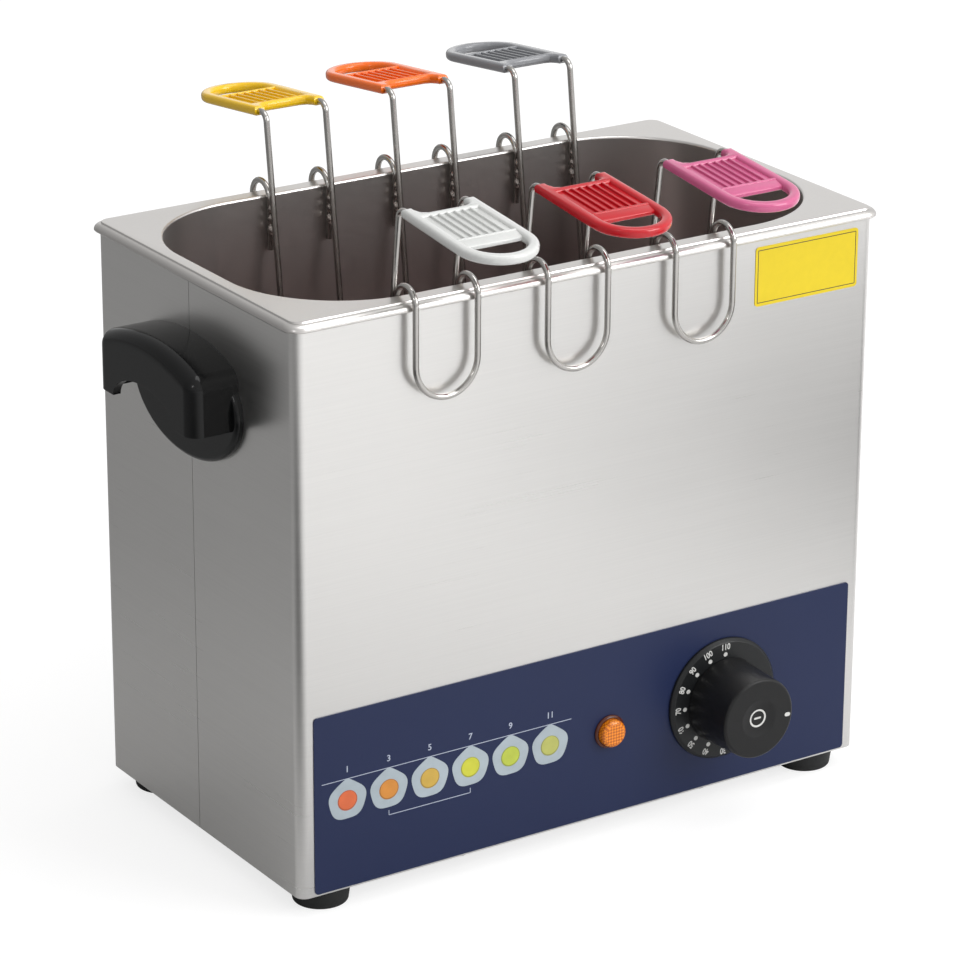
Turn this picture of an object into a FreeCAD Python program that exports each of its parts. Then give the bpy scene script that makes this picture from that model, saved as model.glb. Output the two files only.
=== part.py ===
import FreeCAD, Part
import math
import os
import re
from types import SimpleNamespace

import Sketcher

# Six-egg commercial boiler: a deep-drawn tank hung by its rim in a two-piece sheet casing, with a
# thermostat-controlled element clamped under the tank and six coloured egg holders hooked over the rim.
# Frame: +Z up, -Y the control side, origin on the worktop under the middle of the casing, millimetres.

Vector, Rotation, Placement = FreeCAD.Vector, FreeCAD.Rotation, FreeCAD.Placement
OUT_FRONT = Rotation(Vector(1, 0, 0), 90)     # turns a local +Z to the front, -Y
OUT_BACK = Rotation(Vector(1, 0, 0), -90)     # turns a local +Z to the back, +Y
HALF_TURN = Rotation(Vector(0, 0, 1), 180)

# Each size is set once; an entry that starts with = follows from sizes above it.
SIZES = {
    # sheet casing
    "casing_width": 324, "casing_depth": 182, "casing_height": 280.4, "casing_sheet": 1,
    "casing_corner": 5.2, "seam_place": 3, "seam_gap": 0.3, "lap_width": 10, "return_width": 12,
    "vent_length": 44, "vent_width": 5, "vent_pitch": 14, "vent_count": 7, "lap_lift": 0.3,
    "base_screw_x": 70, "base_screw_y": 45, "base_screw_edge": 7,
    # tank and its rim
    "end_land": 7, "opening_length": "=casing_width - 2 * end_land",
    "side_land": 9, "opening_width": "=casing_depth - 2 * side_land",
    "opening_corner": 58, "tank_depth": 150, "tank_sheet": 1,
    "tank_floor_radius": 15, "rim_overhang": 3, "rim_corner": 8, "rim_roof": 1.3, "rim_step": 0.8,
    "rim_skirt": 2.4, "rim_skirt_wall": 1.4, "rim_round": 3, "opening_edge": 1.2, "step_inset": 0.4,
    # screws shared by feet, handles and base
    "screw_radius": 2, "screw_head_radius": 3.6, "screw_head_height": 2.2, "nut_radius": 3.8,
    "nut_height": 3, "screw_tail": 1, "hole_clearance": 0.3, "insert_clearance": 0.05,
    # feet
    "foot_height": 10, "foot_radius": 14.5, "foot_taper": 1.3, "foot_inset_x": 20, "foot_lip_room": 1.5,
    "foot_inset_y": "=return_width + screw_radius + foot_lip_room",
    "foot_well_radius": 5.5, "foot_well_depth": 5, "foot_edge": 1.5,
    # side handles
    "handle_drop": 57.9, "handle_base_centre": "=foot_height + casing_height - handle_drop",
    "handle_base_half_width": 48.5, "handle_base_half_height": 30.5, "handle_base_thickness": 4,
    "handle_base_round": 2.5, "handle_half_width": 44, "handle_arch_rise": 9, "handle_hood_height": 36,
    "handle_crown": "=handle_base_centre + handle_base_half_height",
    "handle_shoulder": "=handle_crown - handle_arch_rise", "handle_hem": "=handle_crown - handle_hood_height",
    "handle_reach": 25, "handle_wall": 4, "handle_round": 7, "handle_shoulder_round": 8,
    "finger_arch_half_width": 29, "finger_arch_height": 13, "handle_screw_spread": 33,
    "handle_screw_rise": 11.5, "handle_screw_height": "=handle_base_centre + handle_screw_rise",
    "handle_screw_depth": 11, "handle_boss_radius": 4.5,
    # control panel
    "panel_margin": 7.7, "panel_width": "=casing_width - 2 * panel_margin", "panel_height": 89.4,
    "panel_lift": 1, "panel_thickness": 0.5, "panel_corner": 2,
    "label_width": 63, "label_height": 31, "label_side_gap": 8.5, "label_top_gap": 5.6,
    "label_centre_x": "=casing_width / 2 - label_side_gap - label_width / 2", "label_thickness": 0.3,
    # dial, lamp beside it, knob and thermostat
    "dial_inset": 84.5, "dial_x": "=casing_width / 2 - dial_inset", "dial_z": 56.5,
    "lamp_spacing": 66.5, "lamp_x": "=dial_x - lamp_spacing", "lamp_z": 54.5,
    "lamp_ring_radius": 8.5, "lamp_ring_height": 1.6, "lamp_lens_radius": 6.9, "lamp_lens_height": 5.4,
    "lamp_lens_round": 2, "lamp_barrel_radius": 5.5, "lamp_barrel_length": 24,
    "bezel_radius": 31.3, "bezel_thickness": 3, "bezel_bevel": 1.6,
    "knob_base_radius": 21.5, "knob_face_radius": 20.4, "knob_length": 28, "knob_wall": 2.6,
    "knob_round": 1.6, "knob_gap": 0.4, "knob_dish_radius": 10.5, "knob_dish_depth": 1.5,
    "knob_boss_radius": 6.5, "shaft_radius": 3, "shaft_flat": 1.4, "shaft_clearance": 0.05,
    "shaft_engagement": 16, "shaft_in_body": 12, "bushing_radius": 5, "bushing_length": 4,
    "thermostat_width": 42, "thermostat_height": 34, "thermostat_length": 30,
    "thermostat_screw_spread": 28, "thermostat_screw_depth": 8, "bulb_radius": 3, "bulb_length": 82,
    "bulb_x": -40, "bulb_y": -22, "capillary_radius": 0.9, "capillary_setback": 16, "capillary_level": 0.45,
    "capillary_overrun": 12, "capillary_bend": 7, "clip_sheet": 0.8, "clip_width": 12, "clip_tab": 8,
    # element and its neighbours under the tank
    "element_radius": 4, "element_length": 210, "element_width": 96, "element_bend": 40,
    "element_leg_drop": 42, "element_leg_spread": 36, "element_leg_bend": 12, "clamp_width": 14,
    "clamp_thickness": 2, "clamp_x": 62, "under_gap": 0.2, "cutout_radius": 8, "cutout_height": 9,
    "cutout_x": 0, "cutout_y": 18, "cutout_flange": 26, "blade_width": 6.3, "blade_length": 8,
    "earth_x": 84, "earth_setback": 33, "earth_y": "=casing_depth / 2 - earth_setback",
    "earth_radius": 2.5, "earth_nut_radius": 4.8, "earth_length": 20,
    "terminal_x": 30, "terminal_setback": 36, "terminal_y": "=casing_depth / 2 - terminal_setback",
    "terminal_pitch": 12, "terminal_count": 3, "terminal_height": 17, "terminal_depth": 20,
    # cord gland in the back wall
    "gland_inset": 50, "gland_x": "=casing_width / 2 - gland_inset", "gland_z": 42, "gland_bore": 4.3,
    "gland_thread_radius": 7.6, "gland_hex_radius": 10.6, "gland_hex_height": 6, "gland_thread_inside": 9,
    "gland_cap_radius": 9.6, "gland_cap_straight": 9, "gland_cap_length": 17, "gland_mouth_radius": 6.5,
    "gland_cap_round": 2,
    # egg holders: a row spans the straight part of the tank's mouth
    "wire_radius": 1.5, "wire_half_gap": 16.6, "row_end_room": 8.9,
    "holder_pitch": "=opening_length / 2 - opening_corner - wire_half_gap - row_end_room",
    "front_shift": -13.5, "back_shift": 15, "hook_gap": 0.4, "lip_gap": 0.6, "weld_gap": 0.1, "hook_leg": 25,
    "hook_seat_gap": 0.3, "loop_drop": 47, "upright_lean": 7.4, "grip_rise": 41, "grip_droop": 6,
    "bend_radius": 4.5, "seat_drop": 130, "seat_reach": 42, "ring_height": 25, "ring_radius": 25,
    "ring_wire_radius": 1.25,
    # moulded grips
    "grip_length": 66.4, "ear_half_width": 2.8, "ear_length": 7.2, "grip_flare": 0.4,
    "grip_half_width": "=wire_half_gap + ear_half_width + grip_flare", "grip_thickness": 5.6,
    "grip_round": 2.3, "grip_start": 5.6, "grip_shoulder": 34, "ear_round": 3, "wire_insert": 24,
    "field_half_width": 14, "field_start": 11.5, "field_end": 40, "field_depth": 1.4, "rib_count": 6,
    "rib_width": 1.1, "rib_height": 1.1, "bar_end": 48.8, "bow_band": 7,
}

doc = FreeCAD.newDocument("EggBoiler")
sheet = doc.addObject("Spreadsheet::Sheet", "Sizes")
for row, (alias, value) in enumerate(SIZES.items(), 1):
    sheet.set(f"A{row}", alias)
    sheet.set(f"B{row}", str(value))
    sheet.setAlias(f"B{row}", alias)
doc.recompute()
size = SimpleNamespace(**{alias: float(sheet.get(alias)) for alias in SIZES})
desk = doc.addObject("Spreadsheet::Sheet", "Desk")

# Heights and faces that several pieces share, written once in the sheet's own words.
CASING_TOP = "(foot_height + casing_height)"
RIM_TOP = "(foot_height + casing_height + rim_roof + rim_step)"
TANK_UNDERSIDE = "(foot_height + casing_height + rim_roof + rim_step - tank_depth - tank_sheet)"
SIDE = "(casing_width / 2)"
FRONT = "(casing_depth / 2)"
BEZEL_FACE = "(casing_depth / 2 + panel_thickness + bezel_thickness)"


def tied(text):
    """The same expression with each size's name pointing at its cell."""
    return re.sub(r"[a-z][a-z_]*", lambda m: f"Sizes.{m[0]}" if m[0] in SIZES else m[0], str(text))


def bind(thing, prop, text):
    thing.setExpression(prop, tied(text))


def value_of(text):
    """What the sheet makes of an expression, used to draw sketches near their solved shape."""
    desk.set("A1", f"={tied(text)}")
    desk.recompute()
    return float(desk.get("A1"))


def seat(thing, x=0, y=0, z=0, turn=None):
    """Puts an object at a place given in the sheet's words, turned by a fixed rotation."""
    if turn:
        thing.Placement = Placement(Vector(), turn)
    for axis, text in zip("xyz", (x, y, z)):
        bind(thing, f"Placement.Base.{axis}", text)
    return thing


# ---- PartDesign helpers -------------------------------------------------------------------------

def new_body(label):
    body = doc.addObject("PartDesign::Body", label)
    body.Label = label
    return body


def sketch(body, name, plane, lift=0):
    """A sketch on one of the body's own origin planes, lifted along the plane's normal."""
    made = body.newObject("Sketcher::SketchObject", name)
    origin_plane = next(f for f in body.Origin.OriginFeatures if f.Role == plane)
    made.AttachmentSupport = [(origin_plane, "")]
    made.MapMode = "FlatFace"
    bind(made, "AttachmentOffset.Base.z", lift)
    return made


def fix(made, kind, *where, value):
    """A dimension of the sketch, tied to the sheet."""
    index = made.addConstraint(Sketcher.Constraint(kind, *where, value_of(value)))
    bind(made, f"Constraints[{index}]", value)


def fix_point(made, geometry, point, x, y):
    fix(made, "DistanceX", -1, 1, geometry, point, value=x)
    fix(made, "DistanceY", -1, 1, geometry, point, value=y)


def spot(x, y):
    return Vector(value_of(x), value_of(y), 0)


def polygon(made, corners):
    """A closed outline whose corners are tied to the sheet."""
    first, count = made.GeometryCount, len(corners)
    spots = [spot(x, y) for x, y in corners]
    for n in range(count):
        made.addGeometry(Part.LineSegment(spots[n], spots[(n + 1) % count]))
    for n, (x, y) in enumerate(corners):
        made.addConstraint(Sketcher.Constraint("Coincident", first + n, 2, first + (n + 1) % count, 1))
        fix_point(made, first + n, 1, x, y)
    return made


def rectangle(made, left, right, low, high):
    return polygon(made, [(left, low), (right, low), (right, high), (left, high)])


def rounded_rectangle(made, left, right, low, high, radius):
    """A rectangle with one radius at all four corners, as four arcs joined by four runs."""
    first, r = made.GeometryCount, value_of(radius)
    near_x, far_x = f"({left}) + ({radius})", f"({right}) - ({radius})"
    near_y, far_y = f"({low}) + ({radius})", f"({high}) - ({radius})"
    centres = [(near_x, near_y), (far_x, near_y), (far_x, far_y), (near_x, far_y)]
    corners = [Part.Circle(spot(x, y), Vector(0, 0, 1), r) for x, y in centres]
    arcs = [Part.ArcOfCircle(corner, math.pi * (2 + n) / 2, math.pi * (3 + n) / 2)
            for n, corner in enumerate(corners)]
    for n, (x, y) in enumerate(centres):
        made.addGeometry(arcs[n])
        fix_point(made, first + n, 3, x, y)
        fix(made, "Radius", first + n, value=radius)
    for n in range(4):
        after = (n + 1) % 4
        run = made.addGeometry(Part.LineSegment(arcs[n].EndPoint, arcs[after].StartPoint))
        made.addConstraint(Sketcher.Constraint("Tangent", first + n, 2, run, 1))
        made.addConstraint(Sketcher.Constraint("Tangent", run, 2, first + after, 1))
    return made


def circle(made, x, y, radius):
    index = made.addGeometry(Part.Circle(spot(x, y), Vector(0, 0, 1), value_of(radius)))
    fix_point(made, index, 3, x, y)
    fix(made, "Radius", index, value=radius)
    return made


def ellipse(made, x, y, half_width, half_height):
    middle = spot(x, y)
    a, b = value_of(half_width), value_of(half_height)
    index = made.addGeometry(Part.Ellipse(middle + Vector(a, 0, 0), middle + Vector(0, b, 0), middle))
    made.exposeInternalGeometry(index)
    made.addConstraint(Sketcher.Constraint("Horizontal", index + 1))
    fix_point(made, index, 3, x, y)
    fix(made, "Distance", index + 1, value=f"2 * ({half_width})")
    fix(made, "Distance", index + 2, value=f"2 * ({half_height})")
    return made


def arched(made, half_width, hem, shoulder, crown):
    """A flat-bottomed outline with upright sides and one arc over the top."""
    left = f"-({half_width})"
    corners = [(left, shoulder), (left, hem), (half_width, hem), (half_width, shoulder)]
    spots = [spot(x, y) for x, y in corners]
    lines = [made.addGeometry(Part.LineSegment(spots[n], spots[n + 1])) for n in range(3)]
    over = made.addGeometry(Part.Arc(spots[3], spot(0, crown), spots[0]))
    for n, line in enumerate(lines):
        fix_point(made, line, 1, *corners[n])
    fix_point(made, lines[2], 2, *corners[3])
    for one, other in ((lines[0], lines[1]), (lines[1], lines[2])):
        made.addConstraint(Sketcher.Constraint("Coincident", one, 2, other, 1))
    made.addConstraint(Sketcher.Constraint("Coincident", lines[2], 2, over, 1))
    made.addConstraint(Sketcher.Constraint("Coincident", lines[0], 1, over, 2))
    rise = f"(({crown}) - ({shoulder}))"
    fix(made, "Radius", over, value=f"(({half_width}) ^ 2 + {rise} ^ 2) / (2 * {rise})")
    return made


def pad(body, name, profile, length):
    made = body.newObject("PartDesign::Pad", name)
    made.Profile = profile
    bind(made, "Length", length)
    return made


def pocket(body, name, profile, depth=None, along_normal=False):
    """Cuts against the sketch's normal unless told otherwise; with no depth it cuts right through."""
    made = body.newObject("PartDesign::Pocket", name)
    made.Profile = profile
    made.Reversed = along_normal
    if depth is None:
        made.Type = "ThroughAll"
    else:
        bind(made, "Length", depth)
    return made


def turned(body, name, corners):
    """A solid of revolution about the body's Z axis, from a profile of (radius, height) corners."""
    made = body.newObject("PartDesign::Revolution", name)
    profile = polygon(sketch(body, f"{name}_profile", "XZ_Plane"), corners)
    made.Profile = profile
    made.ReferenceAxis = (profile, ["V_Axis"])
    made.Angle = 360
    return made


def row_of(body, name, feature, direction, pitch, count):
    """A straight row of copies of the feature that was made last."""
    made = body.newObject("PartDesign::LinearPattern", name)
    made.Originals = [feature]
    made.Direction = (feature.Profile[0], [direction])
    made.Mode = "Spacing"
    bind(made, "Offset", pitch)
    bind(made, "Occurrences", count)
    body.Tip = made
    return made


def rounded(body, name, radius, test):
    """Rounds the edges of the body so far that pass the test."""
    doc.recompute()
    base = body.Tip
    picked = [f"Edge{n}" for n, edge in enumerate(base.Shape.Edges, 1) if test(edge, edge.BoundBox)]
    made = body.newObject("PartDesign::Fillet", name)
    made.Base = (base, picked)
    bind(made, "Radius", radius)
    return made


def near(a, b, slack=0.02):
    return abs(a - b) < slack


def is_upright(edge, box):
    return box.XLength < 0.01 and box.YLength < 0.01 and box.ZLength > 0.2


def at_height(height):
    return lambda edge, box: near(box.ZMin, height) and near(box.ZMax, height)


# ---- Part helpers -------------------------------------------------------------------------------

def cylinder(name, radius, height, x=0, y=0, z=0, turn=None):
    made = doc.addObject("Part::Cylinder", name)
    bind(made, "Radius", radius)
    bind(made, "Height", height)
    return seat(made, x, y, z, turn)


def box(name, length, width, height, x, y, z):
    """A block given by its three sizes and the middle of its underside."""
    made = doc.addObject("Part::Box", name)
    for prop, text in (("Length", length), ("Width", width), ("Height", height)):
        bind(made, prop, text)
    return seat(made, f"({x}) - ({length}) / 2", f"({y}) - ({width}) / 2", z)


def hexagon(name, across_corners, height, x=0, y=0, z=0, turn=None):
    made = doc.addObject("Part::Prism", name)
    made.Polygon = 6
    bind(made, "Circumradius", across_corners)
    bind(made, "Height", height)
    return seat(made, x, y, z, turn)


def fused(name, parts):
    made = doc.addObject("Part::MultiFuse", name)
    made.Shapes = parts
    return made


def cut(name, base, tool):
    made = doc.addObject("Part::Cut", name)
    made.Base, made.Tool = base, tool
    return made


def grouped(name, parts):
    made = doc.addObject("Part::Compound", name)
    made.Links = parts
    return made


def bent(points, bends):
    """A path of straight runs through the points, joined by tangent arcs of the given radii."""
    edges, last = [], points[0]
    for before, corner, after, radius in zip(points, points[1:], points[2:], bends):
        way_in, way_out = (corner - before).normalize(), (after - corner).normalize()
        half_turn = way_in.getAngle(way_out) / 2
        reach = radius * math.tan(half_turn)
        start, end = corner - way_in * reach, corner + way_out * reach
        inward = (way_out - way_in).normalize()
        middle = corner + inward * (radius / math.cos(half_turn) - radius)
        if (start - last).Length > 1e-6:
            edges.append(Part.LineSegment(last, start).toShape())
        edges.append(Part.Arc(start, middle, end).toShape())
        last = end
    edges.append(Part.LineSegment(last, points[-1]).toShape())
    return Part.Wire(edges)


def drawn(path, radius):
    """A round wire or tube along a path."""
    start = path.Edges[0]
    ring = Part.Circle(start.valueAt(start.FirstParameter), start.tangentAt(start.FirstParameter), radius)
    return path.makePipeShell([Part.Wire(ring.toShape())], True, False)


def plain(name, shape, place=None):
    made = doc.addObject("Part::Feature", name)
    made.Shape = shape
    if place:
        made.Placement = place
    return made


# ---- Casing: two bent sheets that meet on the sides, and a vented base ---------------------------

SCREW_LINES = (("base_screw_x", f"{FRONT} - base_screw_edge"), (f"{SIDE} - base_screw_edge", "base_screw_y"))
ROWS = {"front": -1, "rear": 1}
BASE_SCREWS = {row: [(f"{a} * ({x})", f"{b} * ({y})") for x, y in SCREW_LINES for a in (-1, 1)]
               for row, b in ROWS.items()}
FOOT_PLACES = {f"foot_{row}_{side}": (f"{a} * ({SIDE} - foot_inset_x)", f"{b} * ({FRONT} - foot_inset_y)")
               for row, b in ROWS.items() for side, a in (("left", -1), ("right", 1))}


def shell(label, near_edge, far_edge, bend_face, well_near, well_far):
    """One U-shaped sheet with a lip turned in along its bottom; the edges are places along Y."""
    body = new_body(label)
    plan = rectangle(sketch(body, "plan", "XY_Plane", "foot_height"), f"-{SIDE}", SIDE, near_edge, far_edge)
    pad(body, "block", plan, "casing_height")
    outer_face = bend_face * size.casing_depth / 2
    rounded(body, "outer_bends", "casing_corner",
            lambda edge, b: is_upright(edge, b) and near(b.YMin, outer_face))
    inside = sketch(body, "inside", "XY_Plane", CASING_TOP)
    rounded_rectangle(inside, f"casing_sheet - {SIDE}", f"{SIDE} - casing_sheet", well_near, well_far,
                      "casing_corner - casing_sheet")
    pocket(body, "hollow", inside, "casing_height - casing_sheet")
    return body


def bottom_lip(body, row, near_edge, far_edge):
    """Opens the underside between two places along Y and drills the lip that is left."""
    under = sketch(body, "underside", "XY_Plane", "foot_height + casing_sheet")
    rectangle(under, f"return_width - {SIDE}", f"{SIDE} - return_width", near_edge, far_edge)
    pocket(body, "underside_opening", under, "2 * casing_sheet")
    holes = sketch(body, "lip_holes", "XY_Plane", "foot_height + casing_sheet")
    for x, y in BASE_SCREWS[row]:
        circle(holes, x, y, "screw_radius + hole_clearance")
    pocket(body, "lip_drilling", holes, "2 * casing_sheet")


def side_holes(body, place):
    """Clearance holes for a handle screw, drilled through both side walls."""
    drilled = circle(sketch(body, "handle_holes", "YZ_Plane", f"{SIDE} + 1"),
                     place, "handle_screw_height", "screw_radius + hole_clearance")
    pocket(body, "handle_drilling", drilled)


def front_shell():
    free_edge = "(seam_place - seam_gap / 2)"
    body = shell("front_shell", f"-{FRONT}", free_edge, -1, f"casing_sheet - {FRONT}",
                 f"{free_edge} + 2 * casing_corner")
    bottom_lip(body, "front", f"return_width - {FRONT}", f"{free_edge} + casing_sheet")
    controls = sketch(body, "controls", "XZ_Plane", FRONT)
    circle(controls, "lamp_x", "lamp_z", "lamp_barrel_radius + hole_clearance")
    circle(controls, "dial_x", "dial_z", "bushing_radius + hole_clearance")
    for a in (-1, 1):
        circle(controls, f"dial_x + {a} * thermostat_screw_spread / 2", "dial_z",
               "screw_radius + hole_clearance")
    pocket(body, "control_holes", controls, "2 * casing_sheet")
    side_holes(body, "seam_place - handle_screw_spread")
    return body


def rear_shell():
    free_edge = "(seam_place + seam_gap / 2)"
    body = shell("rear_shell", free_edge, FRONT, 1, f"{free_edge} - 2 * casing_corner",
                 f"{FRONT} - casing_sheet")
    bottom_lip(body, "rear", f"{free_edge} - casing_sheet", f"{FRONT} - return_width")
    # strips set back by one sheet carry the front shell's free edges
    laps = sketch(body, "laps", "XY_Plane", "foot_height + 2 * casing_sheet + lap_lift")
    inner, outer = f"({SIDE} - 2 * casing_sheet)", f"({SIDE} - casing_sheet)"
    for left, right in ((f"-{outer}", f"-{inner}"), (inner, outer)):
        rectangle(laps, left, right, "seam_place - lap_width", "seam_place + lap_width")
    pad(body, "lap_strips", laps, "casing_height - 2 * casing_sheet - lap_lift")
    gland = sketch(body, "gland_hole", "XZ_Plane", f"-{FRONT}")
    circle(gland, "gland_x", "gland_z", "gland_thread_radius + hole_clearance")
    pocket(body, "gland_opening", gland, "2 * casing_sheet", along_normal=True)
    side_holes(body, "seam_place + handle_screw_spread")
    return body


def base_plate():
    body = new_body("base_plate")
    plan = sketch(body, "plan", "XY_Plane", "foot_height + casing_sheet")
    edge_x = f"({SIDE} - casing_sheet - hole_clearance)"
    edge_y = f"({FRONT} - casing_sheet - hole_clearance)"
    rectangle(plan, f"-{edge_x}", edge_x, f"-{edge_y}", edge_y)
    pad(body, "plate", plan, "casing_sheet")
    rounded(body, "corners", "casing_corner - casing_sheet",
            lambda edge, b: near(b.ZLength, size.casing_sheet))
    drilled = sketch(body, "drilled", "XY_Plane", "foot_height + 2 * casing_sheet")
    for x, y in BASE_SCREWS["front"] + BASE_SCREWS["rear"] + list(FOOT_PLACES.values()):
        circle(drilled, x, y, "screw_radius + hole_clearance")
    circle(drilled, "earth_x", "earth_y", "earth_radius + hole_clearance")
    pocket(body, "drilling", drilled)
    slot = sketch(body, "vent", "XY_Plane", "foot_height + 2 * casing_sheet")
    start = "(-vent_pitch * (vent_count - 1) / 2)"
    rectangle(slot, f"{start} - vent_width / 2", f"{start} + vent_width / 2",
              "-vent_length / 2", "vent_length / 2")
    row_of(body, "vents", pocket(body, "vent_slot", slot), "H_Axis", "vent_pitch", "vent_count")
    return body


def screw(name, x, y, z, length, turn=None):
    """A pan-head screw whose head lies under the place and whose shank rises from it."""
    head = cylinder(f"{name}_head", "screw_head_radius", "screw_head_height", z="-screw_head_height")
    shank = cylinder(f"{name}_shank", "screw_radius", length)
    return seat(fused(name, [head, shank]), x, y, z, turn)


def nut(name, x, y, z, turn=None):
    outside = hexagon(f"{name}_hexagon", "nut_radius", "nut_height")
    thread = cylinder(f"{name}_thread", "screw_radius + insert_clearance", "nut_height")
    return seat(cut(name, outside, thread), x, y, z, turn)


def feet_and_base_screws():
    for label, (x, y) in FOOT_PLACES.items():
        foot = new_body(label)
        bore = "screw_radius + hole_clearance"
        turned(foot, "moulding", [("foot_well_radius", 0), ("foot_radius - foot_taper", 0),
                                  ("foot_radius", "foot_height"), (bore, "foot_height"),
                                  (bore, "foot_well_depth"), ("foot_well_radius", "foot_well_depth")])
        rounded(foot, "worn_edge", "foot_edge",
                lambda edge, b: near(b.ZMax, 0) and b.XLength > 2 * size.foot_well_radius + 1)
        seat(foot, x, y)
    base, foot = [], []
    for n, (x, y) in enumerate(BASE_SCREWS["front"] + BASE_SCREWS["rear"], 1):
        base += [screw(f"base_screw_{n}", x, y, "foot_height", "2 * casing_sheet + nut_height + screw_tail"),
                 nut(f"base_nut_{n}", x, y, "foot_height + 2 * casing_sheet")]
    for n, (x, y) in enumerate(FOOT_PLACES.values(), 1):
        foot += [screw(f"foot_screw_{n}", x, y, "foot_well_depth",
                       "foot_height - foot_well_depth + 2 * casing_sheet + nut_height + screw_tail"),
                 nut(f"foot_nut_{n}", x, y, "foot_height + 2 * casing_sheet")]
    return [grouped("base_screws", base), grouped("foot_screws", foot)]


# ---- Tank: one deep drawing with a stepped rim that caps the casing ------------------------------

def top_of(part):
    """Heights, as numbers, at which edges are picked for rounding."""
    roof = size.foot_height + size.casing_height + size.rim_roof
    rim = roof + size.rim_step
    return {"roof": roof, "rim": rim, "cavity_floor": rim - size.tank_depth,
            "pan_floor": rim - size.tank_depth - size.tank_sheet}[part]


def tank():
    body = new_body("tank")
    lip_x, lip_y = f"({SIDE} + rim_overhang)", f"({FRONT} + rim_overhang)"
    band = rounded_rectangle(sketch(body, "band", "XY_Plane", f"{CASING_TOP} - rim_skirt"),
                             f"-{lip_x}", lip_x, f"-{lip_y}", lip_y, "rim_corner")
    pad(body, "rim_band", band, "rim_skirt + rim_roof")
    rounded(body, "rolled_edge", "rim_round", at_height(top_of("roof")))
    channel = sketch(body, "channel", "XY_Plane", f"{CASING_TOP} - rim_skirt")
    rounded_rectangle(channel, f"rim_skirt_wall - {lip_x}", f"{lip_x} - rim_skirt_wall",
                      f"rim_skirt_wall - {lip_y}", f"{lip_y} - rim_skirt_wall", "rim_corner - rim_skirt_wall")
    pocket(body, "rim_channel", channel, "rim_skirt", along_normal=True)
    pan_x, pan_y = "(opening_length / 2 + tank_sheet)", "(opening_width / 2 + tank_sheet)"
    pan = rounded_rectangle(sketch(body, "pan", "XY_Plane", TANK_UNDERSIDE), f"-{pan_x}", pan_x,
                            f"-{pan_y}", pan_y, "opening_corner + tank_sheet")
    pad(body, "pan_outside", pan, "tank_depth + tank_sheet - rim_step")
    step_x, step_y = f"({SIDE} - step_inset)", f"({FRONT} - step_inset)"
    step = rounded_rectangle(sketch(body, "step", "XY_Plane", f"{CASING_TOP} + rim_roof"),
                             f"-{step_x}", step_x, f"-{step_y}", step_y, "casing_corner")
    pad(body, "raised_flange", step, "rim_step")
    mouth = rounded_rectangle(sketch(body, "mouth", "XY_Plane", RIM_TOP),
                              "-opening_length / 2", "opening_length / 2",
                              "-opening_width / 2", "opening_width / 2", "opening_corner")
    pocket(body, "cavity", mouth, "tank_depth")
    rounded(body, "cavity_floor", "tank_floor_radius", at_height(top_of("cavity_floor")))
    rounded(body, "pan_floor", "tank_floor_radius + tank_sheet", at_height(top_of("pan_floor")))
    inner = size.opening_length / 2 + size.step_inset
    rounded(body, "mouth_edge", "opening_edge",
            lambda edge, b: near(b.ZMin, top_of("rim")) and -inner < b.XMin and b.XMax < inner)
    return body


# ---- Side handles: hooded pulls, open below, moulded with an oval base ---------------------------

def handle(label, side):
    body = new_body(label)
    oval = ellipse(sketch(body, "oval", "YZ_Plane", SIDE), 0, "handle_base_centre",
                   "handle_base_half_width", "handle_base_half_height")
    pad(body, "oval_base", oval, "handle_base_thickness")
    outer = size.casing_width / 2 + size.handle_base_thickness
    rounded(body, "base_edge", "handle_base_round", lambda edge, b: near(b.XMin, outer))
    hood = arched(sketch(body, "hood", "YZ_Plane", SIDE), "handle_half_width", "handle_hem",
                  "handle_shoulder", "handle_crown")
    pad(body, "hood_block", hood, "handle_reach")
    face = size.casing_width / 2 + size.handle_reach
    rounded(body, "shoulders", "handle_shoulder_round",
            lambda edge, b: at_height(size.handle_shoulder)(edge, b) and near(b.XMax, face))
    rounded(body, "hood_edge", "handle_round",
            lambda edge, b: near(b.XMin, face) and b.ZMax > size.handle_hem + 1)
    hollow = sketch(body, "finger_room", "YZ_Plane", f"{SIDE} + handle_reach - handle_wall")
    arched(hollow, "handle_half_width - handle_wall", "handle_hem - 1", "handle_shoulder - handle_wall",
           "handle_crown - handle_wall")
    pocket(body, "hollow", hollow, "handle_reach - handle_wall - handle_base_thickness")
    notch = ellipse(sketch(body, "notch", "YZ_Plane", f"{SIDE} + handle_reach"), 0, "handle_hem",
                    "finger_arch_half_width", "finger_arch_height")
    pocket(body, "finger_arch", notch, "handle_wall + 1")
    bosses = sketch(body, "bosses", "YZ_Plane", SIDE)
    pilots = sketch(body, "pilots", "YZ_Plane", SIDE)
    for a in (-1, 1):
        circle(bosses, f"{a} * handle_screw_spread", "handle_screw_height", "handle_boss_radius")
        circle(pilots, f"{a} * handle_screw_spread", "handle_screw_height", "screw_radius + insert_clearance")
    pad(body, "screw_bosses", bosses, "handle_reach - handle_wall")
    pocket(body, "pilot_holes", pilots, "handle_screw_depth", along_normal=True)
    return seat(body, 0, "seam_place", 0, HALF_TURN if side < 0 else None)


def handle_screws():
    """Driven from inside the casing into the handles' bosses."""
    made = []
    for side, a in (("left", -1), ("right", 1)):
        for row, b in ROWS.items():
            made.append(screw(f"handle_screw_{side}_{row}", f"{a} * ({SIDE} - casing_sheet)",
                              f"seam_place + {b} * handle_screw_spread", "handle_screw_height",
                              "casing_sheet + handle_screw_depth - screw_tail",
                              Rotation(Vector(0, 1, 0), a * 90)))
    return grouped("handle_screws", made)


# ---- Control panel, label, lamp ------------------------------------------------------------------

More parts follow.
